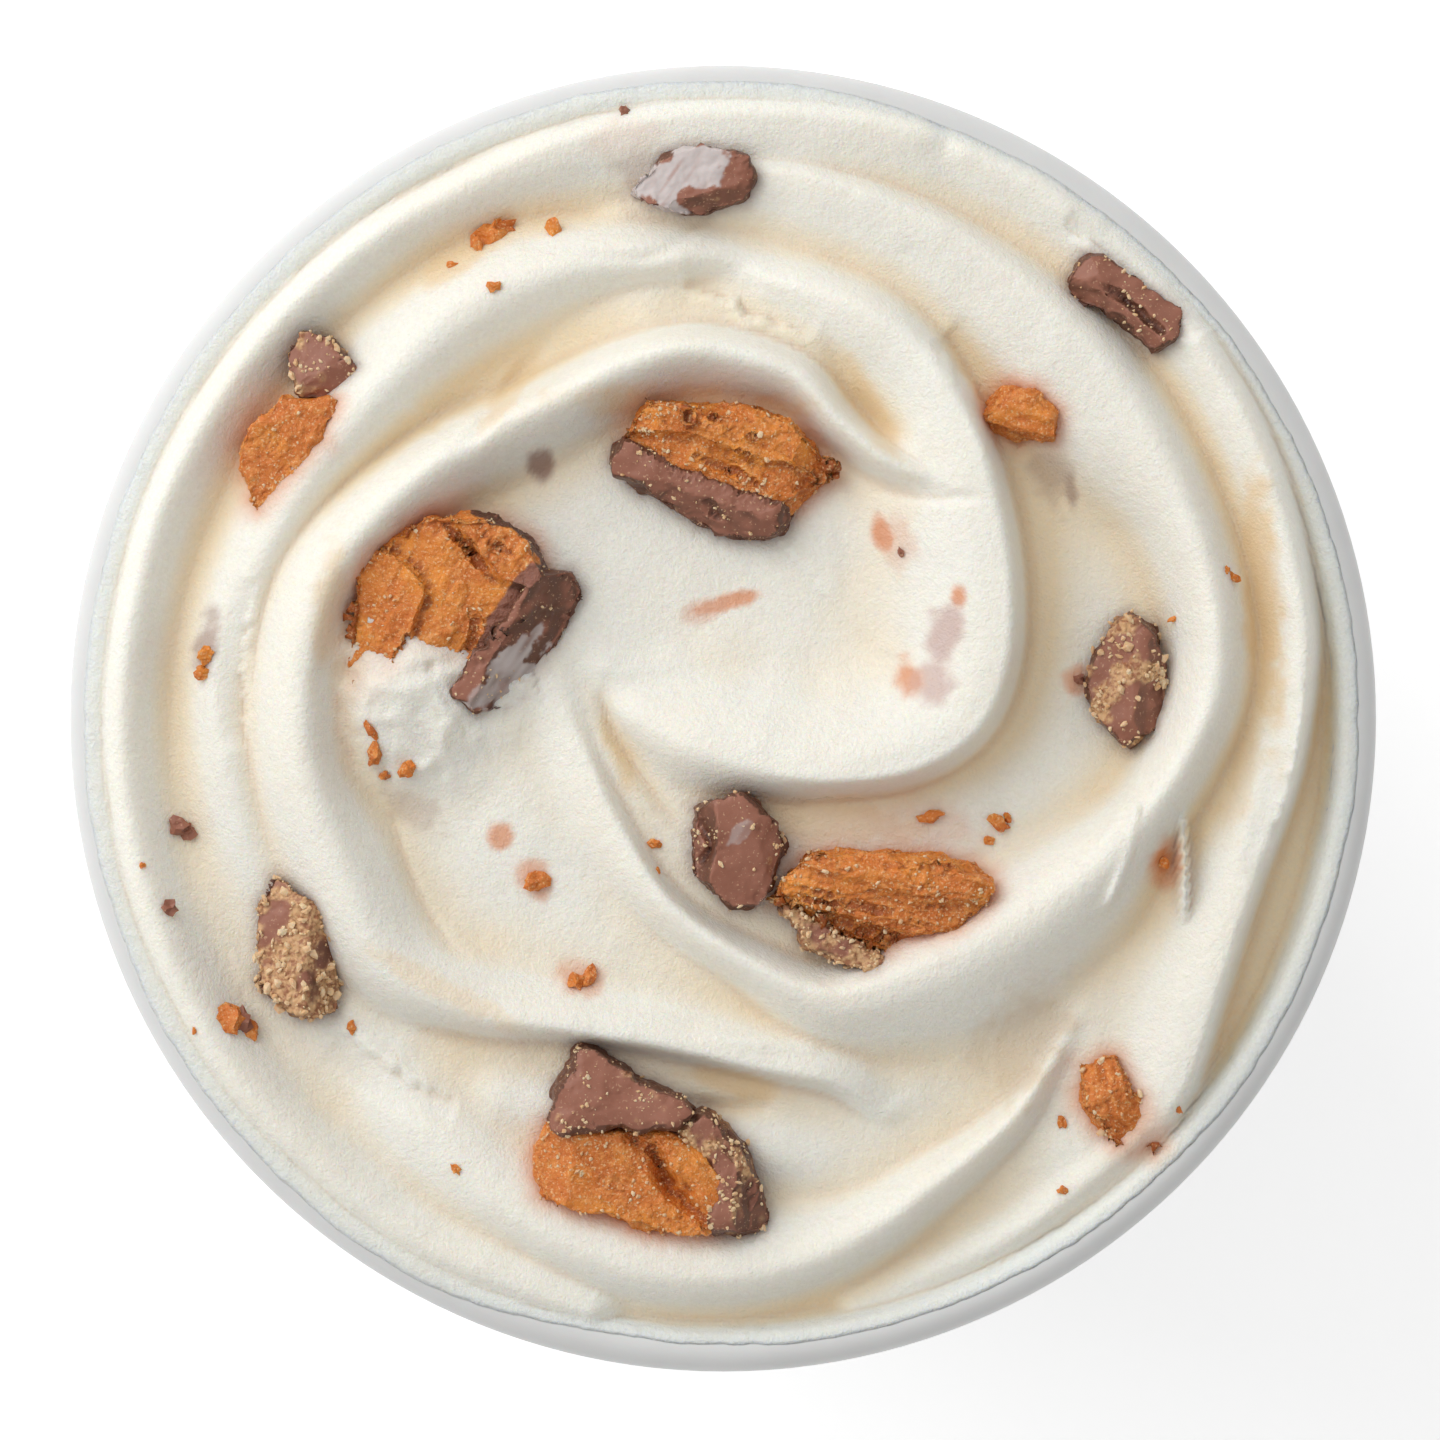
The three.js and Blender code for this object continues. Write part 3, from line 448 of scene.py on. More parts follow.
def edge_radius(angle):
    degrees = np.degrees(angle) % 360
    after = np.clip(np.searchsorted(EDGE_ANGLES, degrees, side="right"), 1, len(EDGE_ANGLES) - 1)
    ends, radii = np.array(EDGE_ANGLES, float), np.array(EDGE_RADII)
    share = ease(degrees, ends[after - 1], ends[after])
    radius = radii[after - 1] + share * (radii[after] - radii[after - 1])
    points = flat_points(9 * np.cos(angle), 9 * np.sin(angle))
    ragged = 0.16 * layered_noise(points, 2, 41) + 0.1 * layered_noise(points * 5, 2, 43)
    return (radius + ragged) * MM


def curl_surface(radius):
    """Height of the rolled rim's upper side."""
    across = np.clip((radius - CURL_CENTRE) / CURL_RADIUS, -1, 1)
    return CURL_HEIGHT + CURL_RADIUS * np.sqrt(1 - across**2)


def wall_inside(z):
    foot = FOOT_RADIUS - PAPER
    return foot + (CURL_CENTRE - CURL_RADIUS - foot) * z / CURL_HEIGHT


def disc_from_square(flat):
    """Spreads a square grid from -1 to 1 evenly over a disc of radius 1."""
    u, v = flat[:, 0], flat[:, 1]
    wide = np.abs(u) > np.abs(v)
    long = np.where(wide, u, v)
    share = np.divide(np.where(wide, v, u), long, out=np.zeros(len(u)), where=long != 0)
    angle = np.where(wide, np.pi / 4 * share, np.pi / 2 - np.pi / 4 * share)
    return long * np.cos(angle), long * np.sin(angle)


def smear_height(points):
    """Height above the rim of the ice cream smeared over candy, in lumps and strands with torn edges."""
    x, y = points[:, 0] - SMEAR_MIDDLE[0], points[:, 1] - SMEAR_MIDDLE[1]
    near = np.hypot(x, y) < 2 * SMEAR_LENGTH
    spots = points[near]
    along, across = turned(x[near], y[near], SMEAR_BEARING)
    lumps = layered_noise(spots / 2.2, 3, 55)
    stirred = along_grain(spots, SMEAR_BEARING + 35) + 0.8 * lumps[:, None]
    strands = 1 - 2 * np.abs(soft_noise(stirred / np.array([2.6, 0.9, 1]), 57))
    away = np.hypot(along / SMEAR_LENGTH, across / SMEAR_BREADTH) + 0.35 * lumps
    height = SMEAR_TOP - SMEAR_FALL * along + 0.55 * lumps + 0.2 * strands
    total = np.full(len(points), NOWHERE)
    total[near] = height - 2.4 * np.maximum(away - 0.6, 0)
    return total


def ice_top(x, y):
    """Height of the ice cream's top in metres for places in metres."""
    height, ripple = swirl_height(x / MM, y / MM)
    points = flat_points(x, y) / MM
    height += 0.16 * soft_noise(points / 7, 21) + 0.05 * soft_noise(points / 2.2, 22)
    height += 0.055 * ripple
    smear = smear_height(points)
    meeting = np.clip(1 - np.abs(height - smear) / 1.8, 0, 1)
    height = np.maximum(height, smear) + 0.45 * meeting**2
    height -= 0.16 * ease(height, 5.6, 6.6)
    return RIM_HEIGHT + height * MM


def make_ice_cream():
    bpy.ops.object.select_all(action="DESELECT")
    bpy.ops.mesh.primitive_grid_add(x_subdivisions=ICE_STEPS, y_subdivisions=ICE_STEPS, size=2)
    piece = named(bpy.context.object, "swirled_ice_cream")
    unit_x, unit_y = disc_from_square(vertex_array(piece))
    reach = edge_radius(np.arctan2(unit_y, unit_x))
    x, y = unit_x * reach, unit_y * reach
    z = ice_top(x, y)
    radius = np.hypot(x, y)
    film = curl_surface(radius) + FILM - FILM_FALL * (1 - ease(radius, *FILM_INSIDE))
    higher = np.maximum(z, film)
    total = np.exp((z - higher) / FILM_BLEND) + np.exp((film - higher) / FILM_BLEND)
    z = higher + FILM_BLEND * np.log(total)
    thinner = 1 - ease(reach - radius, 0, THIN_REACH)
    z -= (z - curl_surface(radius) - THIN_EDGE) * thinner
    set_vertices(piece, np.stack([x, y, z], axis=1))
    add_skirt(piece)
    return piece


def add_skirt(piece):
    """Carries the edge of the top down inside the rolled rim, along the wall and across the bottom."""
    clearance = CURL_RADIUS - SKIRT_GAP
    edit_all(piece)
    bpy.ops.mesh.select_mode(type="EDGE")
    bpy.ops.mesh.select_all(action="DESELECT")
    bpy.ops.mesh.select_non_manifold(extend=False)
    for level in range(5):
        bpy.ops.mesh.extrude_region_move()
        mesh = bmesh.from_edit_mesh(piece.data)
        for vertex in mesh.verts:
            if not vertex.select:
                continue
            radius = math.hypot(vertex.co.x, vertex.co.y)
            if level < 3:
                outermost = math.acos(max(-1, min(1, (radius - EDGE_INSET - CURL_CENTRE) / clearance)))
                turn = outermost + (math.pi - outermost) * level / 2
                new_radius = CURL_CENTRE + clearance * math.cos(turn)
                height = CURL_HEIGHT + clearance * math.sin(turn)
            else:
                height = RIM_HEIGHT - SKIRT_DROP if level == 3 else ICE_BOTTOM
                new_radius = wall_inside(height) - WALL_GAP
            vertex.co.x *= new_radius / radius
            vertex.co.y *= new_radius / radius
            vertex.co.z = height
        bmesh.update_edit_mesh(piece.data)
    bpy.ops.mesh.extrude_region_move()
    bpy.ops.mesh.merge(type="CENTER")
    bpy.ops.mesh.select_all(action="SELECT")
    leave_edit()
    bpy.ops.object.shade_smooth()


# Candy pieces, worked up from copies of their solids
CRISP_VOXEL = 0.13 * MM
CRISP_SPREAD = 0.8
CHOCOLATE_VOXEL = 0.12 * MM
CRISP_SEED = 100
CHOCOLATE_SEED = 400
SEED_STEP = 20


def copy_of_node(node, name):
    piece = add_object(name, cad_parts[node].data.copy())
    piece.data.materials.clear()
    for attribute in [a.name for a in piece.data.color_attributes]:
        piece.data.color_attributes.remove(piece.data.color_attributes[attribute])
    edit_all(piece)
    bpy.ops.mesh.remove_doubles(threshold=0.001 * MM)
    leave_edit()
    return piece


def remesh(piece, voxel):
    select_only(piece)
    piece.data.remesh_voxel_size = voxel
    piece.data.remesh_voxel_adaptivity = 0
    bpy.ops.object.voxel_remesh()
    bpy.ops.object.shade_smooth()


def spread_over(piece, values, rounds):
    """Smooths arrays of values over the edges of a mesh."""
    count = len(piece.data.vertices)
    edges = np.empty(len(piece.data.edges) * 2, int)
    piece.data.edges.foreach_get("vertices", edges)
    start, end = edges.reshape(-1, 2).T
    links = np.bincount(edges, minlength=count).astype(float)
    for _ in range(rounds):
        for k, value in enumerate(values):
            total = np.bincount(start, value[end], count) + np.bincount(end, value[start], count)
            values[k] = 0.5 * value + 0.5 * total / links
    return values


def hollows_and_edges(piece, rounds, scale):
    """Marks hollows, as painted shade, and sharp edges of the surface at each vertex, from 0 to 1."""
    points = vertex_array(piece)
    smooth = spread_over(piece, [points[:, axis].copy() for axis in range(3)], rounds)
    offset = np.stack(smooth, axis=1) - points
    lift = (offset * normal_array(piece)).sum(axis=1)
    add_attribute(piece, "hollow_shade", np.clip(lift / scale, 0, 1))
    add_attribute(piece, "edge", np.clip(-lift / scale, 0, 1))


# Broken faces. Each is a place in plan, how far the face passes below the top of the piece there, the
# way it falls in degrees and its fall per millimetre.
FACES = {
    "chunk_left_crisp": [(-19, 10, 0.2, 250, 0.1), (-22, 9, 0.9, 196, 0.35), (-22, 3, 2.3, 262, 0.5)],
    "chunk_left_coat": [(-16.5, 6.1, 0.1, 325, 1.05), (-12, 10, 0.3, 60, 0.5), (-17.5, 2, 0.9, 232, 0.5)],
    "chunk_top_crisp": [(0, 20, 0.2, 246, 0.2), (-5.5, 20.5, 0.9, 190, 0.6), (5.5, 18, 0.6, 352, 0.7)],
    "chunk_top_coat": [(-1.2, 16.1, 0.1, 247, 0.85), (-5.5, 18, 0.5, 215, 0.4)],
    "chunk_middle_crisp": [
        (12, -12, 0.3, 275, 0.12), (5.5, -12, 0.6, 200, 0.35), (17.5, -12.5, 0.3, 340, 0.4),
    ],
    "chunk_middle_coat": [(9, -16.6, 0, 240, 0.5)],
    "chunk_front_crisp": [(-8, -32, 0.3, 262, 0.16), (-12, -31, 0.8, 190, 0.5), (-0.8, -33, 0.5, 340, 0.2)],
    "chunk_front_coat_back": [(-7.5, -28, 0.1, 70, 0.28), (-11.5, -27.5, 0.5, 190, 0.6)],
    "chunk_front_coat_side": [(1.2, -32.5, 0.2, 350, 1.1), (2.4, -36.4, 0.9, 290, 0.6)],
    "flake_left": [(-31, 20.5, 0.2, 230, 0.25)],
    "flake_right": [(21.6, 22, 0.2, 250, 0.3)],
    "flake_front": [(28, -27, 0.2, 130, 0.4), (29, -27.6, 0.3, 320, 0.5)],
    "shard_centre": [(1, -8.6, 0.2, 290, 0.16), (-1.2, -8.6, 0.8, 180, 1.1), (2.9, -8.8, 0.4, 350, 0.6)],
    "shard_upper_left": [(-29, 25.4, 0.2, 120, 0.35), (-28.6, 25, 0.2, 300, 0.5)],
    "shard_lower_left": [
        (-30.6, -16, 0.2, 180, 0.32), (-29.9, -17, 0.2, 356, 1.05), (-31.4, -13, 0.6, 120, 0.5),
    ],
    "shard_right": [(29.4, 3, 0.2, 176, 0.45), (30.4, 2.5, 0.3, 350, 0.9), (29.4, -1, 0.5, 262, 0.5)],
    "shard_upper_right": [
        (29.4, 30.2, 0.2, 48, 0.55), (28.6, 29.8, 0.3, 228, 0.8), (26, 31.8, 0.5, 150, 0.4),
    ],
    "shard_back": [(0, 39, 0.1, 158, 0.22), (0.6, 38.4, 0.3, 280, 0.9)],
}

# Ledges in the tops: how far the right-hand side of each line drops, then the line's knots
LEDGES = {
    "chunk_left_crisp": [
        [0.9, (-22.4, 6.6), (-21.5, 8.4), (-21.4, 9.9), (-23.2, 11.7), (-25.2, 12.6)],
        [0.8, (-19.9, 14.2), (-17.9, 11.9), (-16.3, 10.1), (-14.6, 9.4)],
    ],
    "chunk_top_crisp": [[0.6, (-7, 20.6), (-3, 20.3), (1, 18.9), (4.4, 18.2), (8, 16.6)]],
    "chunk_middle_crisp": [
        [0.6, (5.6, -10.6), (7.2, -10.9), (9.7, -11.6), (12.7, -12.5), (15.6, -13.5), (18.2, -13.4)],
        [1.3, (4.1, -13.3), (7.5, -14), (9.7, -15), (14.1, -16.1), (16.4, -15.9), (18.2, -14.4)],
    ],
    "chunk_front_crisp": [[0.8, (-6.6, -29), (-5.6, -31.4), (-3.6, -34.3), (-1.6, -37.2)]],
}

# Cracks in the tops: half the breadth, then knots of x, y and depth
CRACKS = {
    "chunk_left_crisp": [
        [0.2, (-19.9, 13.9, 0.5), (-18, 11.8, 0.8), (-16.4, 9.9, 0.3)],
        [0.16, (-17.6, 13.9, 0.1), (-16.2, 12.3, 0.4), (-14.4, 11, 0.1)],
        [0.18, (-18.2, 8.4, 0), (-17.9, 6.4, 0.5), (-18.8, 4, 0.3)],
    ],
    "chunk_top_crisp": [
        [0.2, (-3, 19.2, 0), (0.5, 17.9, 0.5), (3, 16.6, 0.2)],
        [0.2, (0.6, 20.9, 0), (2.2, 20.4, 0.7), (3.8, 19.9, 0)],
    ],
    "chunk_middle_crisp": [
        [0.2, (7.5, -14.1, 0.2), (9.7, -15.1, 0.7), (14.1, -16.2, 0.9), (16.4, -16, 0.6)],
        [0.15, (4.8, -12.1, 0.1), (8.2, -12.9, 0.4), (12.4, -14.2, 0.2), (15.4, -15.1, 0.1)],
        [0.15, (5, -12.8, 0.2), (7.6, -13.4, 0.4), (9.8, -14.2, 0)],
    ],
    "chunk_front_crisp": [
        [
            0.5, (-6.5, -29.9, 0.5), (-5, -31.5, 1.9), (-4.1, -33.4, 2.4), (-2.6, -35.1, 2),
            (-1.3, -36.4, 0.8),
        ],
        [0.3, (-3.4, -32.6, 0), (-2.6, -33.8, 1), (-2.2, -34.8, 0.1)],
    ],
    "chunk_top_coat": [[0.2, (-1.4, 15.4, 0.1), (-0.6, 14.8, 0.5), (0.2, 14.3, 0.1)]],
    "chunk_front_coat_side": [[0.2, (-0.6, -30, 0.3), (1, -31.8, 0.5), (1.9, -34, 0.4), (1.8, -36.4, 0.3)]],
    "shard_upper_right": [[0.3, (27, 31.6, 0.3), (29, 30.2, 0.8), (31.6, 28, 0.6)]],
    "shard_centre": [[0.25, (-1.6, -7.6, 0.5), (-1, -9, 0.8), (-1.6, -10.4, 0.5)]],
}


def carve(piece, node):
    """Cuts the broken faces, ledges and cracks of a piece into its top."""
    points = vertex_array(piece)
    z = points[:, 2] / MM
    x = points[:, 0] / MM + 0.22 * soft_noise(points / MM / 0.9, 61)
    y = points[:, 1] / MM + 0.22 * soft_noise(points / MM / 0.9, 62)
    top, bottom = z.max(), z.min()
    limit = np.full(len(z), top)
    for place_x, place_y, below, bearing, fall in FACES[node]:
        along = turned(x - place_x, y - place_y, bearing)[0]
        limit = np.minimum(limit, top - below - fall * along)
    for drop, *knots in LEDGES.get(node, []):
        distance, side, _, _ = nearest_on(curve_through(knots, 6), x, y)
        limit -= drop * ease(-distance * np.sign(side), -0.15, 0.3)
    for crack in CRACKS.get(node, []):
        limit -= groove_depth(crack, x, y)
    points[:, 2] = np.minimum(z, np.maximum(limit, bottom + 0.6)) * MM
    set_vertices(piece, points)


def carved_copy(node, name, voxel, spread, shift=(0, 0)):
    """A copy of a solid, spread and shifted a little in millimetres, with ragged sides and a broken top."""
    piece = copy_of_node(node, name)
    remesh(piece, 1.4 * voxel)
    points = vertex_array(piece) + spread * MM * normal_array(piece)
    points[:, :2] += np.array(shift) * MM
    spots = points / MM
    for axis in range(2):
        ragged = 0.34 * soft_noise(spots / 1.5, 80 + axis) + 0.2 * soft_noise(spots / 0.55, 90 + axis)
        points[:, axis] += ragged * MM
    set_vertices(piece, points)
    carve(piece, node)
    remesh(piece, voxel)
    return piece


def terraces(value, count, soft):
    """Turns smooth values into flat steps with short slopes between them."""
    scaled = value * count
    low = np.floor(scaled)
    return (low + ease(scaled - low, 0.5 - soft, 0.5 + soft)) / count


def make_crisp(node, name, turn, length, breadth, deep, seed):
    """Flaky crisp: sugary layers that split along the grain and break off in flat steps."""
    piece = carved_copy(node, name, CRISP_VOXEL, CRISP_SPREAD)
    points = vertex_array(piece)
    spots = points / MM
    grain = np.array([length, breadth, breadth])
    local = along_grain(spots, turn)
    local[:, 1] += 0.5 * soft_noise(local / 2.6, seed)
    local[:, 2] += 0.4 * soft_noise(local / 2.1, seed + 1)
    broad = soft_noise(local / grain, seed + 2)
    broad += 0.4 * soft_noise(local / (0.4 * grain), seed + 3)
    layer = terraces(0.5 + 0.4 * broad, 5, 0.1)
    narrow = soft_noise(local / (np.array([0.35, 0.3, 0.4]) * grain), seed + 5)
    splinter = terraces(0.5 + 0.5 * narrow, 3, 0.16)
    grains, edge = flake_cells(spots / 0.42, seed + 7)
    crumbly = layered_noise(spots / 0.5, 2, seed + 9)
    rough = ease(soft_noise(spots / 2.4, seed + 8), -0.4, 0.5)
    depth = deep * layer + 0.18 * splinter + (0.04 + 0.09 * rough) * crumbly
    depth -= (0.04 + 0.12 * rough) * grains * ease(edge, 0.05, 0.4)
    set_vertices(piece, points - normal_array(piece) * (depth - 0.1)[:, None] * MM)
    add_attribute(piece, "flake", 0.6 * layer + 0.4 * splinter)
    hollows_and_edges(piece, 8, CRISP_VOXEL)
    add_attribute(piece, "coat", coat_strips(node, spots))
    # Steep sides are marked to be painted darker, as shade on the coat strips.
    add_attribute(piece, "side", ease(1 - normal_array(piece)[:, 2], 0.12, 0.4))
    return piece


# Strips where the edge of the coat is left on the crisp: half the breadth, then the strip's knots
COAT_STRIPS = {
    "chunk_left_crisp": [
        [0.8, (-17.4, 15.2), (-14.4, 14.1), (-12.7, 12.2), (-11.6, 10.2)],
        [1.1, (-13.4, 10.2), (-14.6, 8.9), (-16, 6.4), (-17.4, 3.9), (-18.4, 1.6)],
    ],
    "chunk_front_crisp": [[0.9, (-3.4, -28.8), (-1.6, -29.6), (0.2, -30.8), (1.2, -33)]],
}


def coat_strips(node, spots):
    strength = np.zeros(len(spots))
    waver = 0.3 * layered_noise(spots / 0.9, 2, 71)
    for breadth, *knots in COAT_STRIPS.get(node, []):
        distance = nearest_on(curve_through(knots, 6), spots[:, 0], spots[:, 1])[0]
        strength = np.maximum(strength, 1 - ease(distance + waver, 0.9 * breadth, 1.05 * breadth))
    return strength


def make_chocolate(node, name, spread, shift, amount, seed):
    """Milk chocolate: smooth moulded sides, rougher where it broke and crusted where crumbs stuck."""
    piece = carved_copy(node, name, CHOCOLATE_VOXEL, spread, shift)
    points = vertex_array(piece)
    normals = normal_array(piece)
    spots = points / MM
    chip = terraces(0.5 + 0.5 * layered_noise(spots / 1.3, 2, seed), 4, 0.14)
    broken = ease(soft_noise(spots / 1.9, seed + 3), -0.3, 0.4) * ease(normals[:, 2], 0.2, 0.7)
    patches = layered_noise(spots / 1.7, 3, seed + 8)
    crust = ease(patches + 1.6 * amount - 1, -0.25, 0.05) * ease(normals[:, 2], 0.05, 0.5)
    grains, edge = flake_cells(spots / 0.4, seed + 7)
    depth = 0.24 * broken * chip + 0.07 * soft_noise(spots / 2.1, seed + 4)
    depth += (0.02 + 0.06 * broken) * layered_noise(spots / 0.5, 2, seed + 6)
    depth -= 0.2 * crust * (0.3 + grains) * ease(edge, 0.02, 0.45)
    set_vertices(piece, points - normals * (0.05 + depth[:, None]) * MM)
    add_attribute(piece, "flake", chip * broken)
    add_attribute(piece, "crust", crust)
    # Steep sides are marked to be painted darker, as shade.
    add_attribute(piece, "side", ease(1 - normals[:, 2], 0.12, 0.4))
    hollows_and_edges(piece, 7, CHOCOLATE_VOXEL)
    return piece


# The crisp pieces: the grain's turn in degrees, its length and breadth and the depth of its steps
CRISP_PIECES = {
    "chunk_left_crisp": (52, 6, 2.6, 0.6),
    "chunk_top_crisp": (-18, 4.4, 1.8, 0.6),
    "chunk_middle_crisp": (-8, 11, 1.5, 0.7),
    "chunk_front_crisp": (-38, 6, 3, 0.4),
    "flake_left": (50, 5, 2, 0.4),
    "flake_right": (-14, 5, 2, 0.4),
    "flake_front": (-60, 3, 1.4, 0.6),
}

# The chocolate pieces: how far each spreads past its solid and is shifted along x and y, in millimetres, so
# that coats meet the crisp, and how much of it is crusted with crumbs
CHOCOLATE_PIECES = {
    "chunk_left_coat": (0.35, (-0.7, 0.1), 0.12),
    "chunk_top_coat": (0.75, (0, 0.3), 0.12),
    "chunk_middle_coat": (0.5, (0, 0), 0.7),
    "chunk_front_coat_back": (0.75, (0.2, -0.2), 0.2),
    "chunk_front_coat_side": (0.75, (-0.9, 0.4), 0.45),
    "shard_centre": (0.5, (0, 0), 0.12),
    "shard_upper_left": (0.5, (0, 0), 0.5),
    "shard_lower_left": (0.5, (0, 0), 0.66),
    "shard_right": (0.5, (0, 0), 0.5),
    "shard_upper_right": (0.5, (0, 0), 0.25),
    "shard_back": (0.5, (0, 0), 0.12),
}


# Crumbs: some at their own places on the ice cream, others seeded on the candy down to a reach below its top
CRUMB_REACH = 4.5 * MM


def crumb_shape(points, size, random):
    """One angular crumb about the origin, turned by a random angle."""
    stretch = Vector((random.uniform(0.7, 1.3), random.uniform(0.5, 0.9), random.uniform(0.4, 0.7)))
    spin = random.uniform(0, math.tau)
    corners = []
    for point in points:
        reach = 0.5 * size * random.uniform(0.5, 1.25)
        x, y, z = (point[axis] * stretch[axis] * reach for axis in range(3))
        corners.append((x * math.cos(spin) - y * math.sin(spin), x * math.sin(spin) + y * math.cos(spin), z))
    return corners


def make_crumbs(name, places, subdivisions, seed):
    """One mesh of crumbs from places, each a centre in metres and a size in metres."""
    bpy.ops.object.select_all(action="DESELECT")
    bpy.ops.mesh.primitive_ico_sphere_add(subdivisions=subdivisions, radius=1)
    pattern = bpy.context.object
    corners = [vertex.co.copy() for vertex in pattern.data.vertices]
    faces = [tuple(face.vertices) for face in pattern.data.polygons]
    bpy.data.objects.remove(pattern)
    random = Random(seed)
    points, triangles, tints = [], [], []
    for centre, size in places:
        start = len(points)
        tint = random.random()
        for corner in crumb_shape(corners, size, random):
            points.append((centre[0] + corner[0], centre[1] + corner[1], centre[2] + corner[2]))
            tints.append(tint)
        triangles += [tuple(start + i for i in face) for face in faces]
    mesh = bpy.data.meshes.new(name)
    mesh.from_pydata(points, [], triangles)
    mesh.update()
    piece = add_object(name, mesh)
    add_attribute(piece, "flake", np.array(tints))
    return piece


def surface_places(piece, count, low, high, seed):
    """Seeded places in loose clusters on the upward faces of a piece, most of them near its broken edges."""
    random = Random(seed)
    points = vertex_array(piece)
    normals = normal_array(piece)
    sharp = np.empty(len(points))
    piece.data.attributes["edge"].data.foreach_get("value", sharp)
    chance = ease(soft_noise(points / MM / 1.4, seed), 0, 0.6) + 1.5 * sharp
    high_up = points[:, 2] > points[:, 2].max() - CRUMB_REACH
    chance *= ease(normals[:, 2], 0.1, 0.5) * high_up
    chosen = random.choices(range(len(points)), weights=chance, k=count)
    places = []
    for i in chosen:
        size = (low + (high - low) * random.random() ** 2) * MM
        places.append((tuple(points[i] + normals[i] * size * 0.12), size))
    return places


def ice_places(spots):
    """Places on the ice cream for spots of x, y and size in millimetres."""
    array = np.array(spots) * MM
    heights = ice_top(array[:, 0], array[:, 1])
    return [((x, y, z + 0.1 * size), size) for (x, y, size), z in zip(array, heights)]


# Crumbs at their own places on the ice cream: x, y and size
CRISP_CRUMBS = [
    (-35.8, -21.9, 2.6), (-34.2, -22.6, 2.2), (-16.9, 35.1, 2.6), (-15.9, 35.7, 1.8), (-17.8, 34.2, 1.6),
    (-13.6, -11.8, 2.2), (-10.6, -19, 2.2), (-9.7, -18.8, 1.8), (-37.4, 4.6, 2), (-37.7, 3.3, 1.4),
    (19.9, -7.6, 1.8), (19.3, -8.8, 1), (20.6, -7.2, 0.9), (-12.2, 35.4, 1.7), (15, -7.1, 1.6),
    (-16.5, 31.2, 1.4), (-19.6, 32.9, 0.9), (-5, -9, 1.2), (-4.7, -11, 0.7), (36.8, 10.2, 1.3),
    (36.3, 10.7, 0.7), (32.6, 7.2, 0.9), (24.6, -29.3, 1.2), (24.6, -34.2, 0.9), (33, -28.3, 0.8),
    (-19.4, -32.6, 1), (-42, -10.6, 0.7), (-27, -22.4, 0.9), (-38.3, -22.6, 0.6), (31.8, -10.4, 1.5),
    (-25.5, -0.8, 1.5), (-25.2, -2.5, 1.9), (-24.5, -4.1, 1.3), (-22.8, -3.7, 1.8),
]
CHOCOLATE_CRUMBS = [
    (-39.6, -7.7, 2.4), (-38.8, -8.2, 1.4), (-40.1, -13.7, 1.7), (-35, -22, 2.4), (12.8, 12, 0.9),
    (25.8, 2.9, 1.2), (-7.1, 44, 1.3),
]

# Colours
CREAM = (0.90, 0.885, 0.81)
PALE_CREAM = (0.90, 0.86, 0.765)
VALLEY_SHADE_CREAM = (0.88, 0.725, 0.50)
HOLLOW_SHADE_CREAM = (0.74, 0.50, 0.27)
CREAM_SPECKLE = (0.74, 0.70, 0.60)
CRISP_ORANGE = (0.74, 0.215, 0.026)
CRISP_RUST = (0.56, 0.135, 0.014)
CRISP_AMBER = (0.86, 0.31, 0.034)
CRISP_PEACH = (0.82, 0.32, 0.075)
CRISP_HOLLOW_SHADE = (0.36, 0.080, 0.010)
CRISP_GOLD = (0.80, 0.36, 0.12)
CRISP_SUGAR = (0.92, 0.62, 0.32)
CRISP_FILM = (0.78, 0.66, 0.58)
CRUMB_TAN = (0.70, 0.44, 0.23)
CRUMB_PALE = (0.80, 0.60, 0.38)
CRUMB_BROWN = (0.58, 0.26, 0.09)
CHOCOLATE_BROWN = (0.295, 0.112, 0.068)
CHOCOLATE_WARM = (0.34, 0.138, 0.088)
CHOCOLATE_SIDE_SHADE = (0.130, 0.050, 0.028)
CHOCOLATE_HOLLOW_SHADE = (0.075, 0.022, 0.011)
CHOCOLATE_LIGHT = (0.46, 0.22, 0.14)
CHOCOLATE_DUST = (0.60, 0.36, 0.22)
CHOCOLATE_FILM = (0.57, 0.50, 0.48)
CRUST_BROWN = (0.36, 0.15, 0.07)
CRUST_TAN = (0.66, 0.40, 0.20)
PAPER_WHITE = (0.72, 0.72, 0.71)
PAPER_CLOUD = (0.69, 0.69, 0.68)
FLOOR_WHITE = (0.92, 0.92, 0.92)
WHITE = (1, 1, 1)


# Materials
class Shading:
    """The shader nodes of a material or of the world."""

    def __init__(self, owner):
        owner.use_nodes = True
        self.tree = owner.node_tree

    def put(self, socket, value):
        """Links a socket to another node's output, or gives it a value."""
        if isinstance(value, bpy.types.NodeSocket):
            self.tree.links.new(value, socket)
        elif socket.type == "RGBA":
            socket.default_value = (*value, 1)
        else:
            socket.default_value = value

    def add(self, kind, inputs, **settings):
        node = self.tree.nodes.new("ShaderNode" + kind)
        for name, value in settings.items():
            setattr(node, name, value)
        for key, value in inputs.items():
            self.put(node.inputs[key], value)
        return node.outputs

    def ranged(self, source, low, high, to_low, to_high):
        limits = {"From Min": low, "From Max": high, "To Min": to_low, "To Max": to_high}
        return self.add("MapRange", {"Value": source, **limits})["Result"]


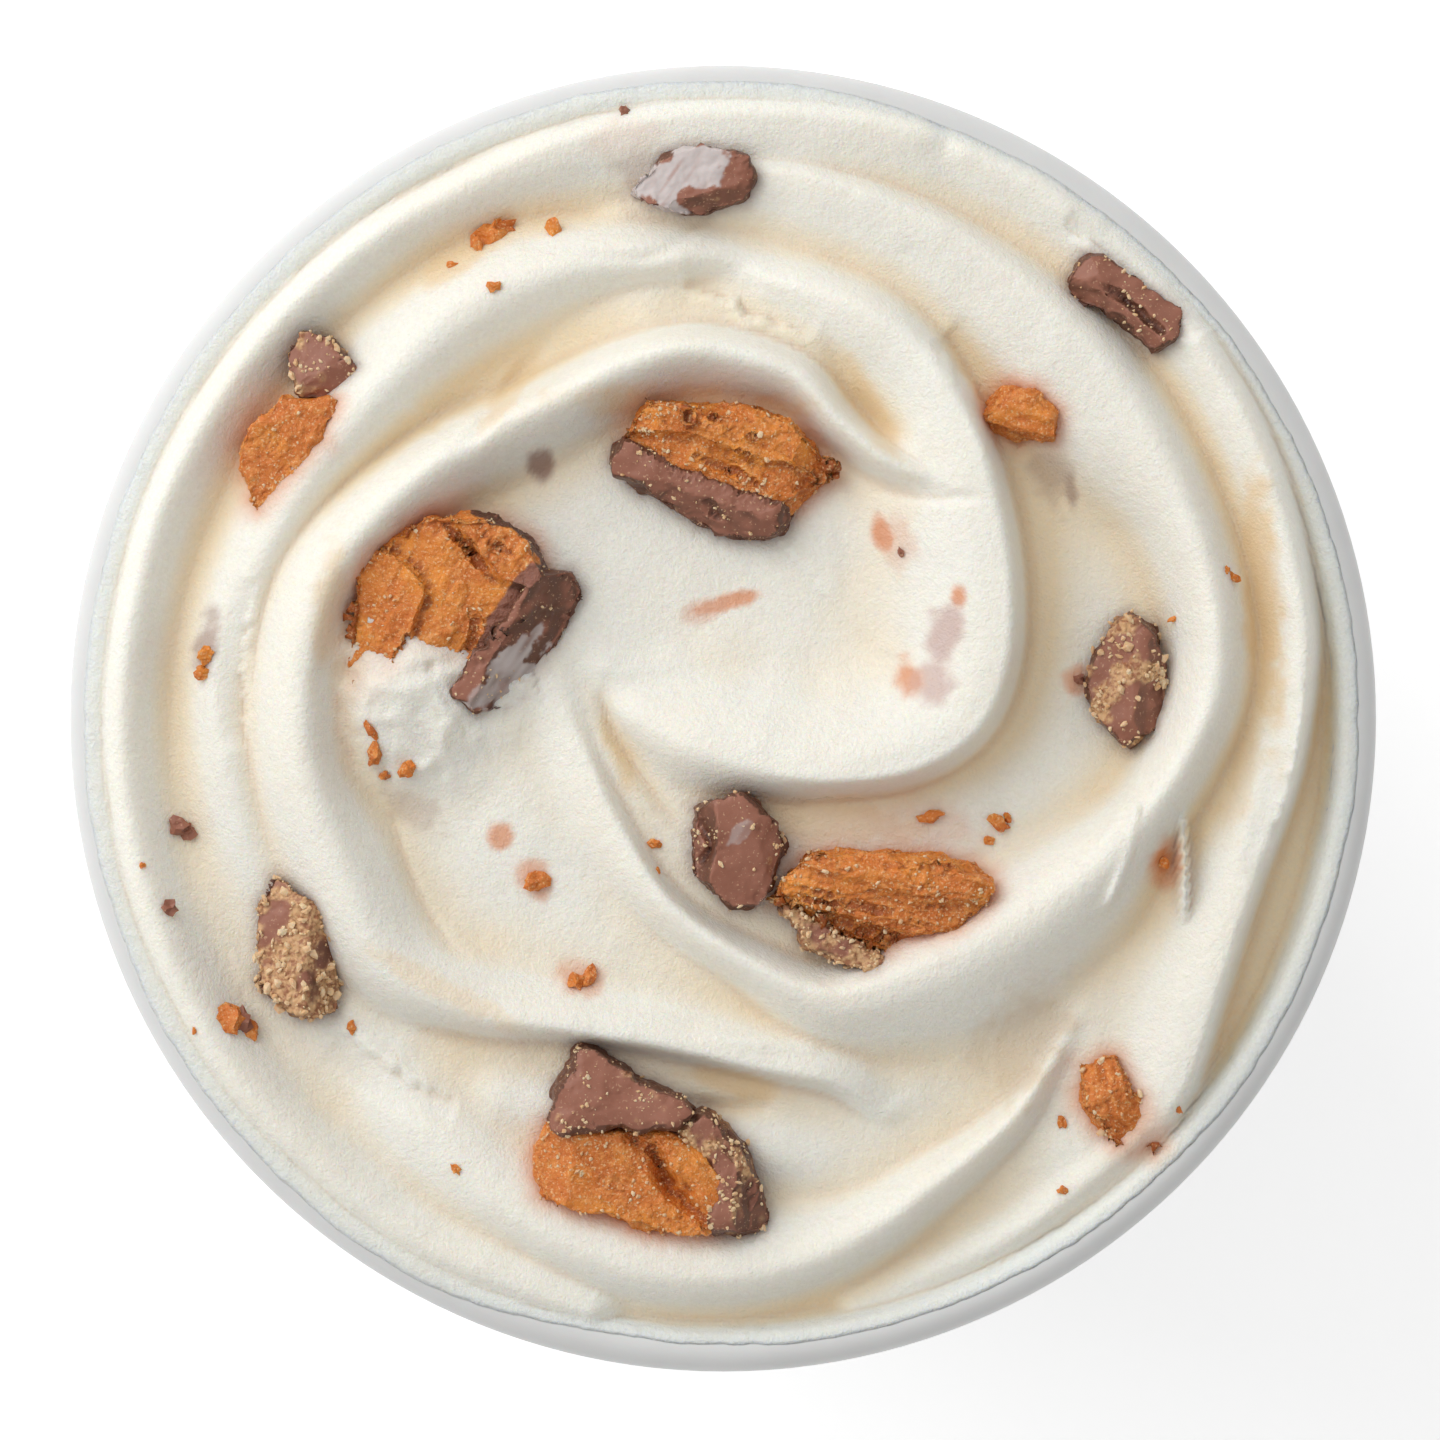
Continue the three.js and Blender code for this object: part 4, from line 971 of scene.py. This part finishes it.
class Finish(Shading):
    """A material whose colour is laid on in layers, each through a mask, and whose bumps add up."""

    def __init__(self, name, colour):
        self.material = bpy.data.materials.new(name)
        super().__init__(self.material)
        self.points = self.add("TexCoord", {})["Object"]
        self.colour = colour
        self.normal = None

    def noise(self, scale, detail, roughness):
        inputs = {"Vector": self.points, "Scale": scale, "Detail": detail, "Roughness": roughness}
        return self.add("TexNoise", inputs)["Fac"]

    def patches(self, scale, detail, roughness, low, high, most=1):
        """A mask of noise, from 0 at the low value of the noise to the most at its high value."""
        return self.ranged(self.noise(scale, detail, roughness), low, high, 0, most)

    def read(self, name):
        return self.add("Attribute", {}, attribute_name=name)["Fac"]

    def marks(self, name, low, high, most=1):
        """A mask read from the vertices, from 0 at the low value to the most at the high one."""
        return self.ranged(self.read(name), low, high, 0, most)

    def mix(self, mask, first, second):
        return self.add("Mix", {0: mask, 6: first, 7: second}, data_type="RGBA")[2]

    def layer(self, mask, colour):
        self.colour = self.mix(mask, self.colour, colour)

    def bump(self, scale, detail, roughness, distance, strength):
        height = self.noise(scale, detail, roughness)
        inputs = {"Height": height, "Distance": distance * MM, "Strength": strength}
        if self.normal:
            inputs["Normal"] = self.normal
        self.normal = self.add("Bump", inputs)["Normal"]

    def complete(self, **values):
        """Sets inputs of the shader, whose names are given with underscores for spaces."""
        values["Base_Color"] = self.colour
        if self.normal:
            values["Normal"] = self.normal
        shader = self.tree.nodes["Principled BSDF"]
        for name, value in values.items():
            self.put(shader.inputs[name.replace("_", " ")], value)
        return self.material

    def translucent(self, roughness, weight, radius, scale, specular=0.5):
        """Completes a finish that lets light in, with the weight, colour and reach of what spreads."""
        under = {"Subsurface_Weight": weight, "Subsurface_Radius": radius, "Subsurface_Scale": scale * MM}
        return self.complete(Roughness=roughness, Specular_IOR_Level=specular, **under)


def soft_ice_cream_material():
    finish = Finish("soft_ice_cream_finish", CREAM)
    finish.layer(finish.patches(90, 3, 0.5, 0.35, 0.75), PALE_CREAM)
    # Painted shade: warmer, darker cream in the valleys of the swirl.
    finish.layer(finish.marks("valley_shade", 0.05, 0.65), VALLEY_SHADE_CREAM)
    # Painted shade: darker, warmer cream in the hollows.
    finish.layer(finish.marks("hollow_shade", 0.3, 1, 0.35), HOLLOW_SHADE_CREAM)
    finish.layer(finish.patches(3000, 3, 0.7, 0.42, 0.62, 0.24), CREAM_SPECKLE)
    # This layer holds candy stains and painted shade.
    stain_and_shade = finish.add("Attribute", {}, attribute_name="stain_and_shade")
    finish.layer(stain_and_shade["Alpha"], stain_and_shade["Color"])
    dry = finish.ranged(finish.noise(160, 3, 0.5), 0.3, 0.7, 0.28, 0.5)
    gloss = finish.add("Mix", {"Factor": finish.read("wet"), "A": dry, "B": 0.09})["Result"]
    finish.bump(520, 3, 0.5, 0.2, 0.6)
    finish.bump(1800, 4, 0.6, 0.13, 0.9)
    finish.bump(5200, 2, 0.5, 0.08, 1)
    return finish.translucent(gloss, 0.5, (1, 0.72, 0.45), 1.2)


def crisp_material():
    finish = Finish("crisp_core_finish", CRISP_ORANGE)
    finish.layer(finish.marks("flake", 0.1, 0.9), CRISP_RUST)
    finish.layer(finish.patches(260, 3, 0.6, 0.5, 0.68, 0.8), CRISP_AMBER)
    finish.layer(finish.patches(1100, 4, 0.7, 0.5, 0.68), CRISP_PEACH)
    # Painted shade: darker crisp in the hollows.
    finish.layer(finish.marks("hollow_shade", 0.1, 0.95, 0.9), CRISP_HOLLOW_SHADE)
    finish.layer(finish.marks("edge", 0.15, 1, 0.6), CRISP_GOLD)
    finish.layer(finish.patches(5200, 2, 0.5, 0.57, 0.67, 0.55), CRISP_SUGAR)
    finish.layer(finish.read("film"), CRISP_FILM)
    # Painted shade: the coat strips are darker on steep sides.
    coat = finish.mix(finish.read("side"), CHOCOLATE_BROWN, CHOCOLATE_SIDE_SHADE)
    finish.layer(finish.read("coat"), coat)
    finish.bump(1500, 3, 0.6, 0.2, 0.8)
    finish.bump(4200, 3, 0.65, 0.16, 1)
    return finish.translucent(0.4, 0.25, (1, 0.45, 0.15), 0.5)


def crumb_material():
    finish = Finish("dry_crumb_finish", CRUMB_TAN)
    finish.layer(finish.read("flake"), CRUMB_PALE)
    finish.layer(finish.patches(3000, 3, 0.5, 0.5, 0.7, 0.6), CRUMB_BROWN)
    return finish.translucent(0.5, 0.3, (1, 0.6, 0.3), 0.3)


def chocolate_material():
    finish = Finish("milk_chocolate_finish", CHOCOLATE_BROWN)
    finish.layer(finish.patches(500, 4, 0.6, 0.35, 0.7), CHOCOLATE_WARM)
    # Painted shade: steep sides of the chocolate are darker.
    finish.layer(finish.read("side"), CHOCOLATE_SIDE_SHADE)
    # Painted shade: darker chocolate in the hollows.
    finish.layer(finish.marks("hollow_shade", 0.1, 0.95), CHOCOLATE_HOLLOW_SHADE)
    finish.layer(finish.marks("edge", 0.15, 1, 0.75), CHOCOLATE_LIGHT)
    crust = finish.mix(finish.patches(1900, 3, 0.6, 0.4, 0.56), CRUST_BROWN, CRUST_TAN)
    finish.layer(finish.read("crust"), crust)
    finish.layer(finish.patches(4200, 2, 0.5, 0.62, 0.72, 0.7), CHOCOLATE_DUST)
    finish.layer(finish.read("film"), CHOCOLATE_FILM)
    finish.bump(1400, 4, 0.55, 0.06, 0.5)
    return finish.translucent(0.45, 0.1, (1, 0.4, 0.25), 0.4, 0.4)


def paper_material():
    finish = Finish("white_paper_finish", PAPER_WHITE)
    finish.layer(finish.patches(240, 4, 0.5, 0.3, 0.7), PAPER_CLOUD)
    finish.bump(2600, 4, 0.65, 0.03, 0.4)
    return finish.translucent(0.5, 0.1, (1, 0.2, 0.1), 0.4)


def floor_material():
    finish = Finish("pale_floor_finish", FLOOR_WHITE)
    return finish.complete(Roughness=0.8, Emission_Color=WHITE, Emission_Strength=FLOOR_GLOW)


# The cup: its profile is spun round, then the sleeve's glued overlap is raised. At the foot the paper is
# folded up inside, with a channel between the wall and the fold.
ROUND_STEPS = 180
WALL_STEPS = 12
CURL_STEPS = 18
CURL_TURN = math.radians(300)
CURL_TUCK = 0.3 * MM
CHANNEL = 1.1 * MM
FOLD_TOP = 6.5 * MM
INNER_RING = 40 * MM
OVERLAP_DEGREES = (236, 250)
OVERLAP_STEP = 0.28 * MM
OVERLAP_ENDS = (0.3 * MM, CURL_HEIGHT - 2.5 * MM)
FOOT_ROUNDING = 0.15 * MM
SMOOTH_BELOW = math.radians(40)


def curl_profile(inset):
    """One face of the rolled rim, from the inside of the wall up, over and under."""
    line = []
    for step in range(CURL_STEPS + 1):
        share = step / CURL_STEPS
        angle = math.pi - CURL_TURN * share
        radius = CURL_RADIUS - CURL_TUCK * max(0, share - 0.6) / 0.4 - inset
        line.append((CURL_CENTRE + radius * math.cos(angle), CURL_HEIGHT + radius * math.sin(angle)))
    return line


def make_sleeve():
    profile = [(FOOT_RADIUS - FOOT_ROUNDING, 0), (FOOT_RADIUS, FOOT_ROUNDING)]
    for step in range(1, WALL_STEPS):
        z = CURL_HEIGHT * step / WALL_STEPS
        profile.append((wall_inside(z) + PAPER, z))
    profile += curl_profile(PAPER)
    profile += reversed(curl_profile(0))
    profile += [(wall_inside(INNER_RING), INNER_RING), (wall_inside(PAPER), PAPER)]
    profile += [(wall_inside(PAPER) - CHANNEL, PAPER), (wall_inside(FOLD_TOP) - CHANNEL, FOLD_TOP)]
    profile += [(wall_inside(FOLD_TOP) - CHANNEL - PAPER, FOLD_TOP), (wall_inside(0) - CHANNEL - PAPER, 0)]
    piece = spun("paper_sleeve", profile)
    raise_overlap(piece)
    return piece


def spun(name, profile):
    mesh = bpy.data.meshes.new(name)
    lines = [(i, (i + 1) % len(profile)) for i in range(len(profile))]
    mesh.from_pydata([(radius, 0, z) for radius, z in profile], lines, [])
    piece = add_object(name, mesh)
    edit_all(piece)
    bpy.ops.mesh.spin(steps=ROUND_STEPS, angle=math.tau, center=(0, 0, 0), axis=(0, 0, 1))
    bpy.ops.mesh.select_all(action="SELECT")
    bpy.ops.mesh.remove_doubles(threshold=0.002 * MM)
    leave_edit()
    bpy.ops.object.shade_smooth_by_angle(angle=SMOOTH_BELOW)
    return piece


def raise_overlap(piece):
    """Raises the outside of the wall where the sleeve's two ends are glued over each other."""
    points = vertex_array(piece)
    radius = np.hypot(points[:, 0], points[:, 1])
    degrees = np.degrees(np.arctan2(points[:, 1], points[:, 0])) % 360
    outside = radius > wall_inside(points[:, 2]) + 0.6 * PAPER
    near = outside & (points[:, 2] > OVERLAP_ENDS[0]) & (points[:, 2] < OVERLAP_ENDS[1])
    strip = near & (degrees > OVERLAP_DEGREES[0]) & (degrees < OVERLAP_DEGREES[1])
    grow = 1 + np.where(strip, OVERLAP_STEP / radius, 0)
    points[:, 0] *= grow
    points[:, 1] *= grow
    set_vertices(piece, points)


def finish_piece(piece, material, *nodes):
    piece.data.materials.clear()
    piece.data.materials.append(material)
    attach(piece, "root")
    if nodes:
        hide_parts(*nodes)
    return piece


# Stains, where candy shows through the ice cream, and painted shade in valleys and under folds, the golden
# and sandy ovals: x, y, length, breadth, turn, strength and colour
ORANGE = (0.72, 0.27, 0.10)
BROWN = (0.30, 0.15, 0.11)
ROSE = (0.70, 0.36, 0.24)
PLUM = (0.52, 0.30, 0.27)
GOLDEN_SHADE = (0.82, 0.60, 0.34)
SANDY_SHADE = (0.68, 0.53, 0.36)
STAINS_AND_SHADE = [
    (-2.5, 22.6, 17, 2.8, -3, 0.7, GOLDEN_SHADE), (8.5, -7.6, 14, 3.6, -4, 0.5, GOLDEN_SHADE),
    (38.9, 9, 2.8, 20, 4, 0.75, GOLDEN_SHADE), (37.4, -4, 2.2, 12, -12, 0.4, GOLDEN_SHADE),
    (-18.8, 33.6, 9, 2.4, 32, 0.6, GOLDEN_SHADE), (-15.5, 23.5, 2, 8, -30, 0.45, GOLDEN_SHADE),
    (-28.4, 8, 2.6, 11, -8, 0.5, GOLDEN_SHADE), (0.6, -26.4, 8, 1.8, -14, 0.75, GOLDEN_SHADE),
    (10.8, 22.4, 2, 9, 25, 0.45, GOLDEN_SHADE), (-7.6, -2.6, 1.6, 6, 20, 0.55, GOLDEN_SHADE),
    (21.7, -23.6, 6, 10, -40, 0.55, SANDY_SHADE), (-20, -19.6, 12, 1.8, -28, 0.35, GOLDEN_SHADE),
    (21.6, 22, 5.4, 3.2, -14, 0.75, ORANGE), (23.6, 18.2, 3, 6.8, 20, 0.38, BROWN),
    (25.2, 16.4, 1.2, 3, 10, 0.55, BROWN), (16.9, 8.8, 1.4, 1.8, 0, 0.85, ORANGE),
    (16, 6.2, 2.6, 5, -14, 0.62, PLUM), (14.8, 2.6, 3.2, 3.6, 30, 0.6, PLUM),
    (13.4, 3, 2.2, 3.2, 20, 0.8, ORANGE), (11.5, 13.2, 1.7, 3.6, 15, 0.9, ORANGE),
    (12.4, 12.6, 3, 4.4, 15, 0.4, ROSE), (0.2, 8.4, 5, 1.2, 14, 0.8, ORANGE),
    (-1.6, 7.8, 3.4, 2, 20, 0.45, ROSE), (-37.4, 5.4, 2, 5, -8, 0.6, BROWN),
    (-16.2, -8.5, 2, 2, 40, 0.75, ORANGE), (-13.8, -11.6, 2.6, 3.2, 40, 0.6, ORANGE),
    (-10.4, -18.9, 4, 2.6, -15, 0.5, ORANGE), (32, -10.4, 2.6, 4.2, -10, 0.6, ORANGE),
    (31.8, -10.2, 1.4, 2.6, -10, 0.95, ORANGE), (-13.2, 18.4, 2.4, 2.2, 30, 0.8, BROWN),
    (25.8, 2.8, 2.2, 2.6, 0, 0.7, ORANGE), (14.4, -7.6, 9, 4, -4, 0.24, ORANGE),
    (-5.2, 38.8, 7, 5, 20, 0.35, BROWN), (-7, 42, 6, 3.2, 0, 0.16, ROSE),
    (-22.5, -6.6, 5, 3, -40, 0.26, BROWN),
]


def add_stains_and_shade(piece, candy):
    """Colours the ice cream where candy lies under its skin and where candy stands in it. Some ovals are
    painted shade, and round the candy the tint is partly stain and partly painted contact shade.
    """
    points = vertex_array(piece)
    spots = points / MM
    colour = np.tile(np.array([*ORANGE]), (len(points), 1))
    strength = np.zeros(len(points))
    waver = layered_noise(spots / 1.3, 4, 77)
    for *oval, share, tint in STAINS_AND_SHADE:
        spot = share * (1 - ease(oval_distance(spots, *oval) + 0.6 * waver, 0.5, 1.25))
        mixed = spot / np.maximum(strength + spot, 1e-6)
        colour += (np.array(tint) - colour) * mixed[:, None]
        strength = np.maximum(strength, spot)
    smeared = np.abs(RIM_HEIGHT / MM + smear_height(spots) - spots[:, 2]) < 0.45
    bare = np.where(smeared, 0.4, 1.0)
    # Round the candy the tint is partly stain and partly painted contact shade.
    for tree, reach, share, tint in candy:
        for i in np.flatnonzero(points[:, 2] >= HIDDEN_BELOW):
            _, _, face, distance = tree.find_nearest(Vector(points[i]), reach)
            if face is None:
                continue
            spot = share * (1 - distance / reach) ** 2 * bare[i]
            mixed = spot / max(strength[i] + spot, 1e-6)
            colour[i] += (np.array(tint) - colour[i]) * mixed
            strength[i] = max(strength[i], spot)
    attribute = piece.data.color_attributes.new("stain_and_shade", "FLOAT_COLOR", "POINT")
    values = np.column_stack([colour, np.clip(strength, 0, 1)])
    attribute.data.foreach_set("color", values.astype(np.float32).ravel())


# Wet places on the ice cream: x, y, length, breadth and turn
WET_SPOTS = [
    (-10.4, -1.2, 5, 4, 20), (-6, 40.4, 7, 3, 10), (8.4, 11.2, 1.6, 7, -4), (-2, -22.6, 10, 2, -6),
    (22.6, -31, 2, 6, -35), (-14.6, 12, 4, 5, 0), (-24, -2, 7, 6, 0), (9, -7.5, 9, 3, -10),
]


def add_wet_spots(piece):
    spots = vertex_array(piece) / MM
    waver = layered_noise(spots / 1.5, 3, 97)
    wet = np.zeros(len(spots))
    for oval in WET_SPOTS:
        wet = np.maximum(wet, 1 - ease(oval_distance(spots, *oval) + 0.8 * waver, 0.6, 1.3))
    add_attribute(piece, "wet", wet)


def add_valley_shade(piece):
    """Marks how far the surface lies below the broad shape round it, from 0 to 1: painted shade."""
    height = vertex_array(piece)[:, 2]
    (even,) = spread_over(piece, [np.maximum(height, HIDDEN_BELOW)], 20)
    (broad,) = spread_over(piece, [even.copy()], 260)
    add_attribute(piece, "valley_shade", np.clip((broad - even) / VALLEY_DEPTH, 0, 1))


def nearness(pieces):
    """A tree of all the faces of some pieces, to find the nearest one."""
    points, faces = [], []
    for piece in pieces:
        start = len(points)
        points += [vertex.co.copy() for vertex in piece.data.vertices]
        faces += [tuple(start + i for i in face.vertices) for face in piece.data.polygons]
    return BVHTree.FromPolygons(points, faces)


# Ice cream smeared thinly on the candy: x, y, length, breadth, turn and strength of each film
FILMS = [
    (-15.6, 2.8, 8, 3, 55, 0.9), (-4, 39.2, 9, 4.2, 20, 1.3), (1.2, -8.2, 2.4, 1, 50, 0.5),
]


def add_films(piece):
    spots = vertex_array(piece) / MM
    waver = layered_noise(spots / 1.4, 4, 83)
    streaks = 0.8 + 0.5 * soft_noise(along_grain(spots, 55) / np.array([1.8, 0.35, 1]), 85)
    film = np.zeros(len(spots))
    for *oval, share in FILMS:
        away = oval_distance(spots, *oval) + 1.2 * waver
        film = np.maximum(film, share * streaks * (1 - ease(away, 0.8, 1)))
    add_attribute(piece, "film", np.clip(film, 0, 1))


# Make the pieces
ice_finish = soft_ice_cream_material()
crisp_finish = crisp_material()
chocolate_finish = chocolate_material()
crumb_finish = crumb_material()
paper_finish = paper_material()

finish_piece(make_sleeve(), paper_finish, "cup_sleeve")
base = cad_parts["cup_base"]
for place in base.material_slots:
    place.material = paper_finish

crisps = {}
for number, (node, grain) in enumerate(CRISP_PIECES.items()):
    made = make_crisp(node, node + "_flaky", *grain, CRISP_SEED + SEED_STEP * number)
    add_films(made)
    crisps[node] = finish_piece(made, crisp_finish, node)
chocolates = {}
for number, (node, traits) in enumerate(CHOCOLATE_PIECES.items()):
    made = make_chocolate(node, node + "_milk", *traits, CHOCOLATE_SEED + SEED_STEP * number)
    add_films(made)
    chocolates[node] = finish_piece(made, chocolate_finish, node)

ice = make_ice_cream()
hollows_and_edges(ice, 14, ICE_RELIEF)
add_valley_shade(ice)
add_wet_spots(ice)
# Tints round the candy, partly stain and partly painted contact shade: tree, reach, strength and colour.
near_crisp = (nearness(crisps.values()), 1.8 * MM, 0.7, ORANGE)
near_chocolate = (nearness(chocolates.values()), 1.2 * MM, 0.5, BROWN)
add_stains_and_shade(ice, [near_crisp, near_chocolate])
finish_piece(ice, ice_finish, "soft_ice_cream")

# Loose crumbs on the candy: how many, and the least and greatest size in millimetres
LOOSE_CRUMBS = {
    "shard_lower_left": (170, 0.25, 0.9),
    "shard_right": (130, 0.25, 0.9),
    "shard_upper_left": (70, 0.25, 0.8),
    "shard_upper_right": (50, 0.2, 0.5),
    "shard_centre": (60, 0.15, 0.5),
    "chunk_front_coat_back": (110, 0.15, 0.5),
    "chunk_front_coat_side": (170, 0.2, 0.6),
    "chunk_top_coat": (60, 0.15, 0.45),
    "chunk_left_coat": (50, 0.15, 0.4),
    "chunk_middle_coat": (160, 0.2, 0.6),
    "chunk_front_crisp": (150, 0.15, 0.5),
    "chunk_middle_crisp": (170, 0.15, 0.5),
    "chunk_top_crisp": (190, 0.15, 0.5),
    "chunk_left_crisp": (120, 0.15, 0.45),
    "flake_front": (40, 0.3, 0.8),
    "flake_left": (30, 0.15, 0.4),
}
loose = []
for number, (node, (count, low, high)) in enumerate(LOOSE_CRUMBS.items()):
    loose += surface_places({**crisps, **chocolates}[node], count, low, high, 1 + number)
small_crumbs = finish_piece(make_crumbs("loose_crumbs", loose, 1, 31), crumb_finish)
crumbs = finish_piece(make_crumbs("crisp_crumbs", ice_places(CRISP_CRUMBS), 2, 33), crisp_finish)
dark_crumbs = make_crumbs("chocolate_crumbs", ice_places(CHOCOLATE_CRUMBS), 2, 32)
finish_piece(dark_crumbs, chocolate_finish)

# Floor, light and camera. The room is lighter on the side of the softbox.
ROOM_BRIGHT_SIDE = (-0.74, 0.62, 0.26)
ROOM_LIGHT = (0.32, 0.86)
FLOOR_SIZE = 4
FLOOR_GLOW = 0.36
KEY_DIRECTION = Vector((-0.62, 0.52, 0.64)).normalized()
KEY_DISTANCE = 0.95
KEY_SIZE = 0.8
KEY_WATTS = 4.6
bpy.ops.object.select_all(action="DESELECT")
bpy.ops.mesh.primitive_plane_add(size=FLOOR_SIZE)
floor = named(bpy.context.object, "pale_floor")
floor.data.materials.append(floor_material())

world = bpy.data.worlds.new("soft_room")
bpy.context.scene.world = world
room = Shading(world)
background = world.node_tree.nodes["Background"].inputs
room.put(background["Color"], WHITE)
outwards = room.add("TexCoord", {})["Generated"]
towards = room.add("VectorMath", {0: outwards, 1: ROOM_BRIGHT_SIDE}, operation="DOT_PRODUCT")["Value"]
room.put(background["Strength"], room.ranged(towards, -0.8, 0.8, *ROOM_LIGHT))

softbox = bpy.data.lights.new("key_softbox", "AREA")
softbox.shape = "SQUARE"
softbox.size = KEY_SIZE
softbox.energy = KEY_WATTS
lamp = add_object("key_softbox", softbox)
lamp.location = KEY_DIRECTION * KEY_DISTANCE + Vector((0, 0, RIM_HEIGHT))
lamp.rotation_euler = (-KEY_DIRECTION).to_track_quat("-Z", "Y").to_euler()

PHOTO_PIXELS = 1440
RIM_PIXELS = 1310
RIM_MIDDLE_PIXELS = (723.1, 718.6)
METRES_PER_PIXEL = 2 * RIM_RADIUS / RIM_PIXELS
LENS = 200
SENSOR = 36
camera_data = bpy.data.cameras.new("camera")
camera_data.lens = LENS
camera_data.sensor_width = SENSOR
camera = add_object("camera", camera_data)
distance = METRES_PER_PIXEL * PHOTO_PIXELS * LENS / SENSOR
camera.location = (
    (PHOTO_PIXELS / 2 - RIM_MIDDLE_PIXELS[0]) * METRES_PER_PIXEL,
    (RIM_MIDDLE_PIXELS[1] - PHOTO_PIXELS / 2) * METRES_PER_PIXEL,
    RIM_HEIGHT + distance,
)
bpy.context.scene.camera = camera
bpy.context.scene.view_settings.view_transform = "Standard"
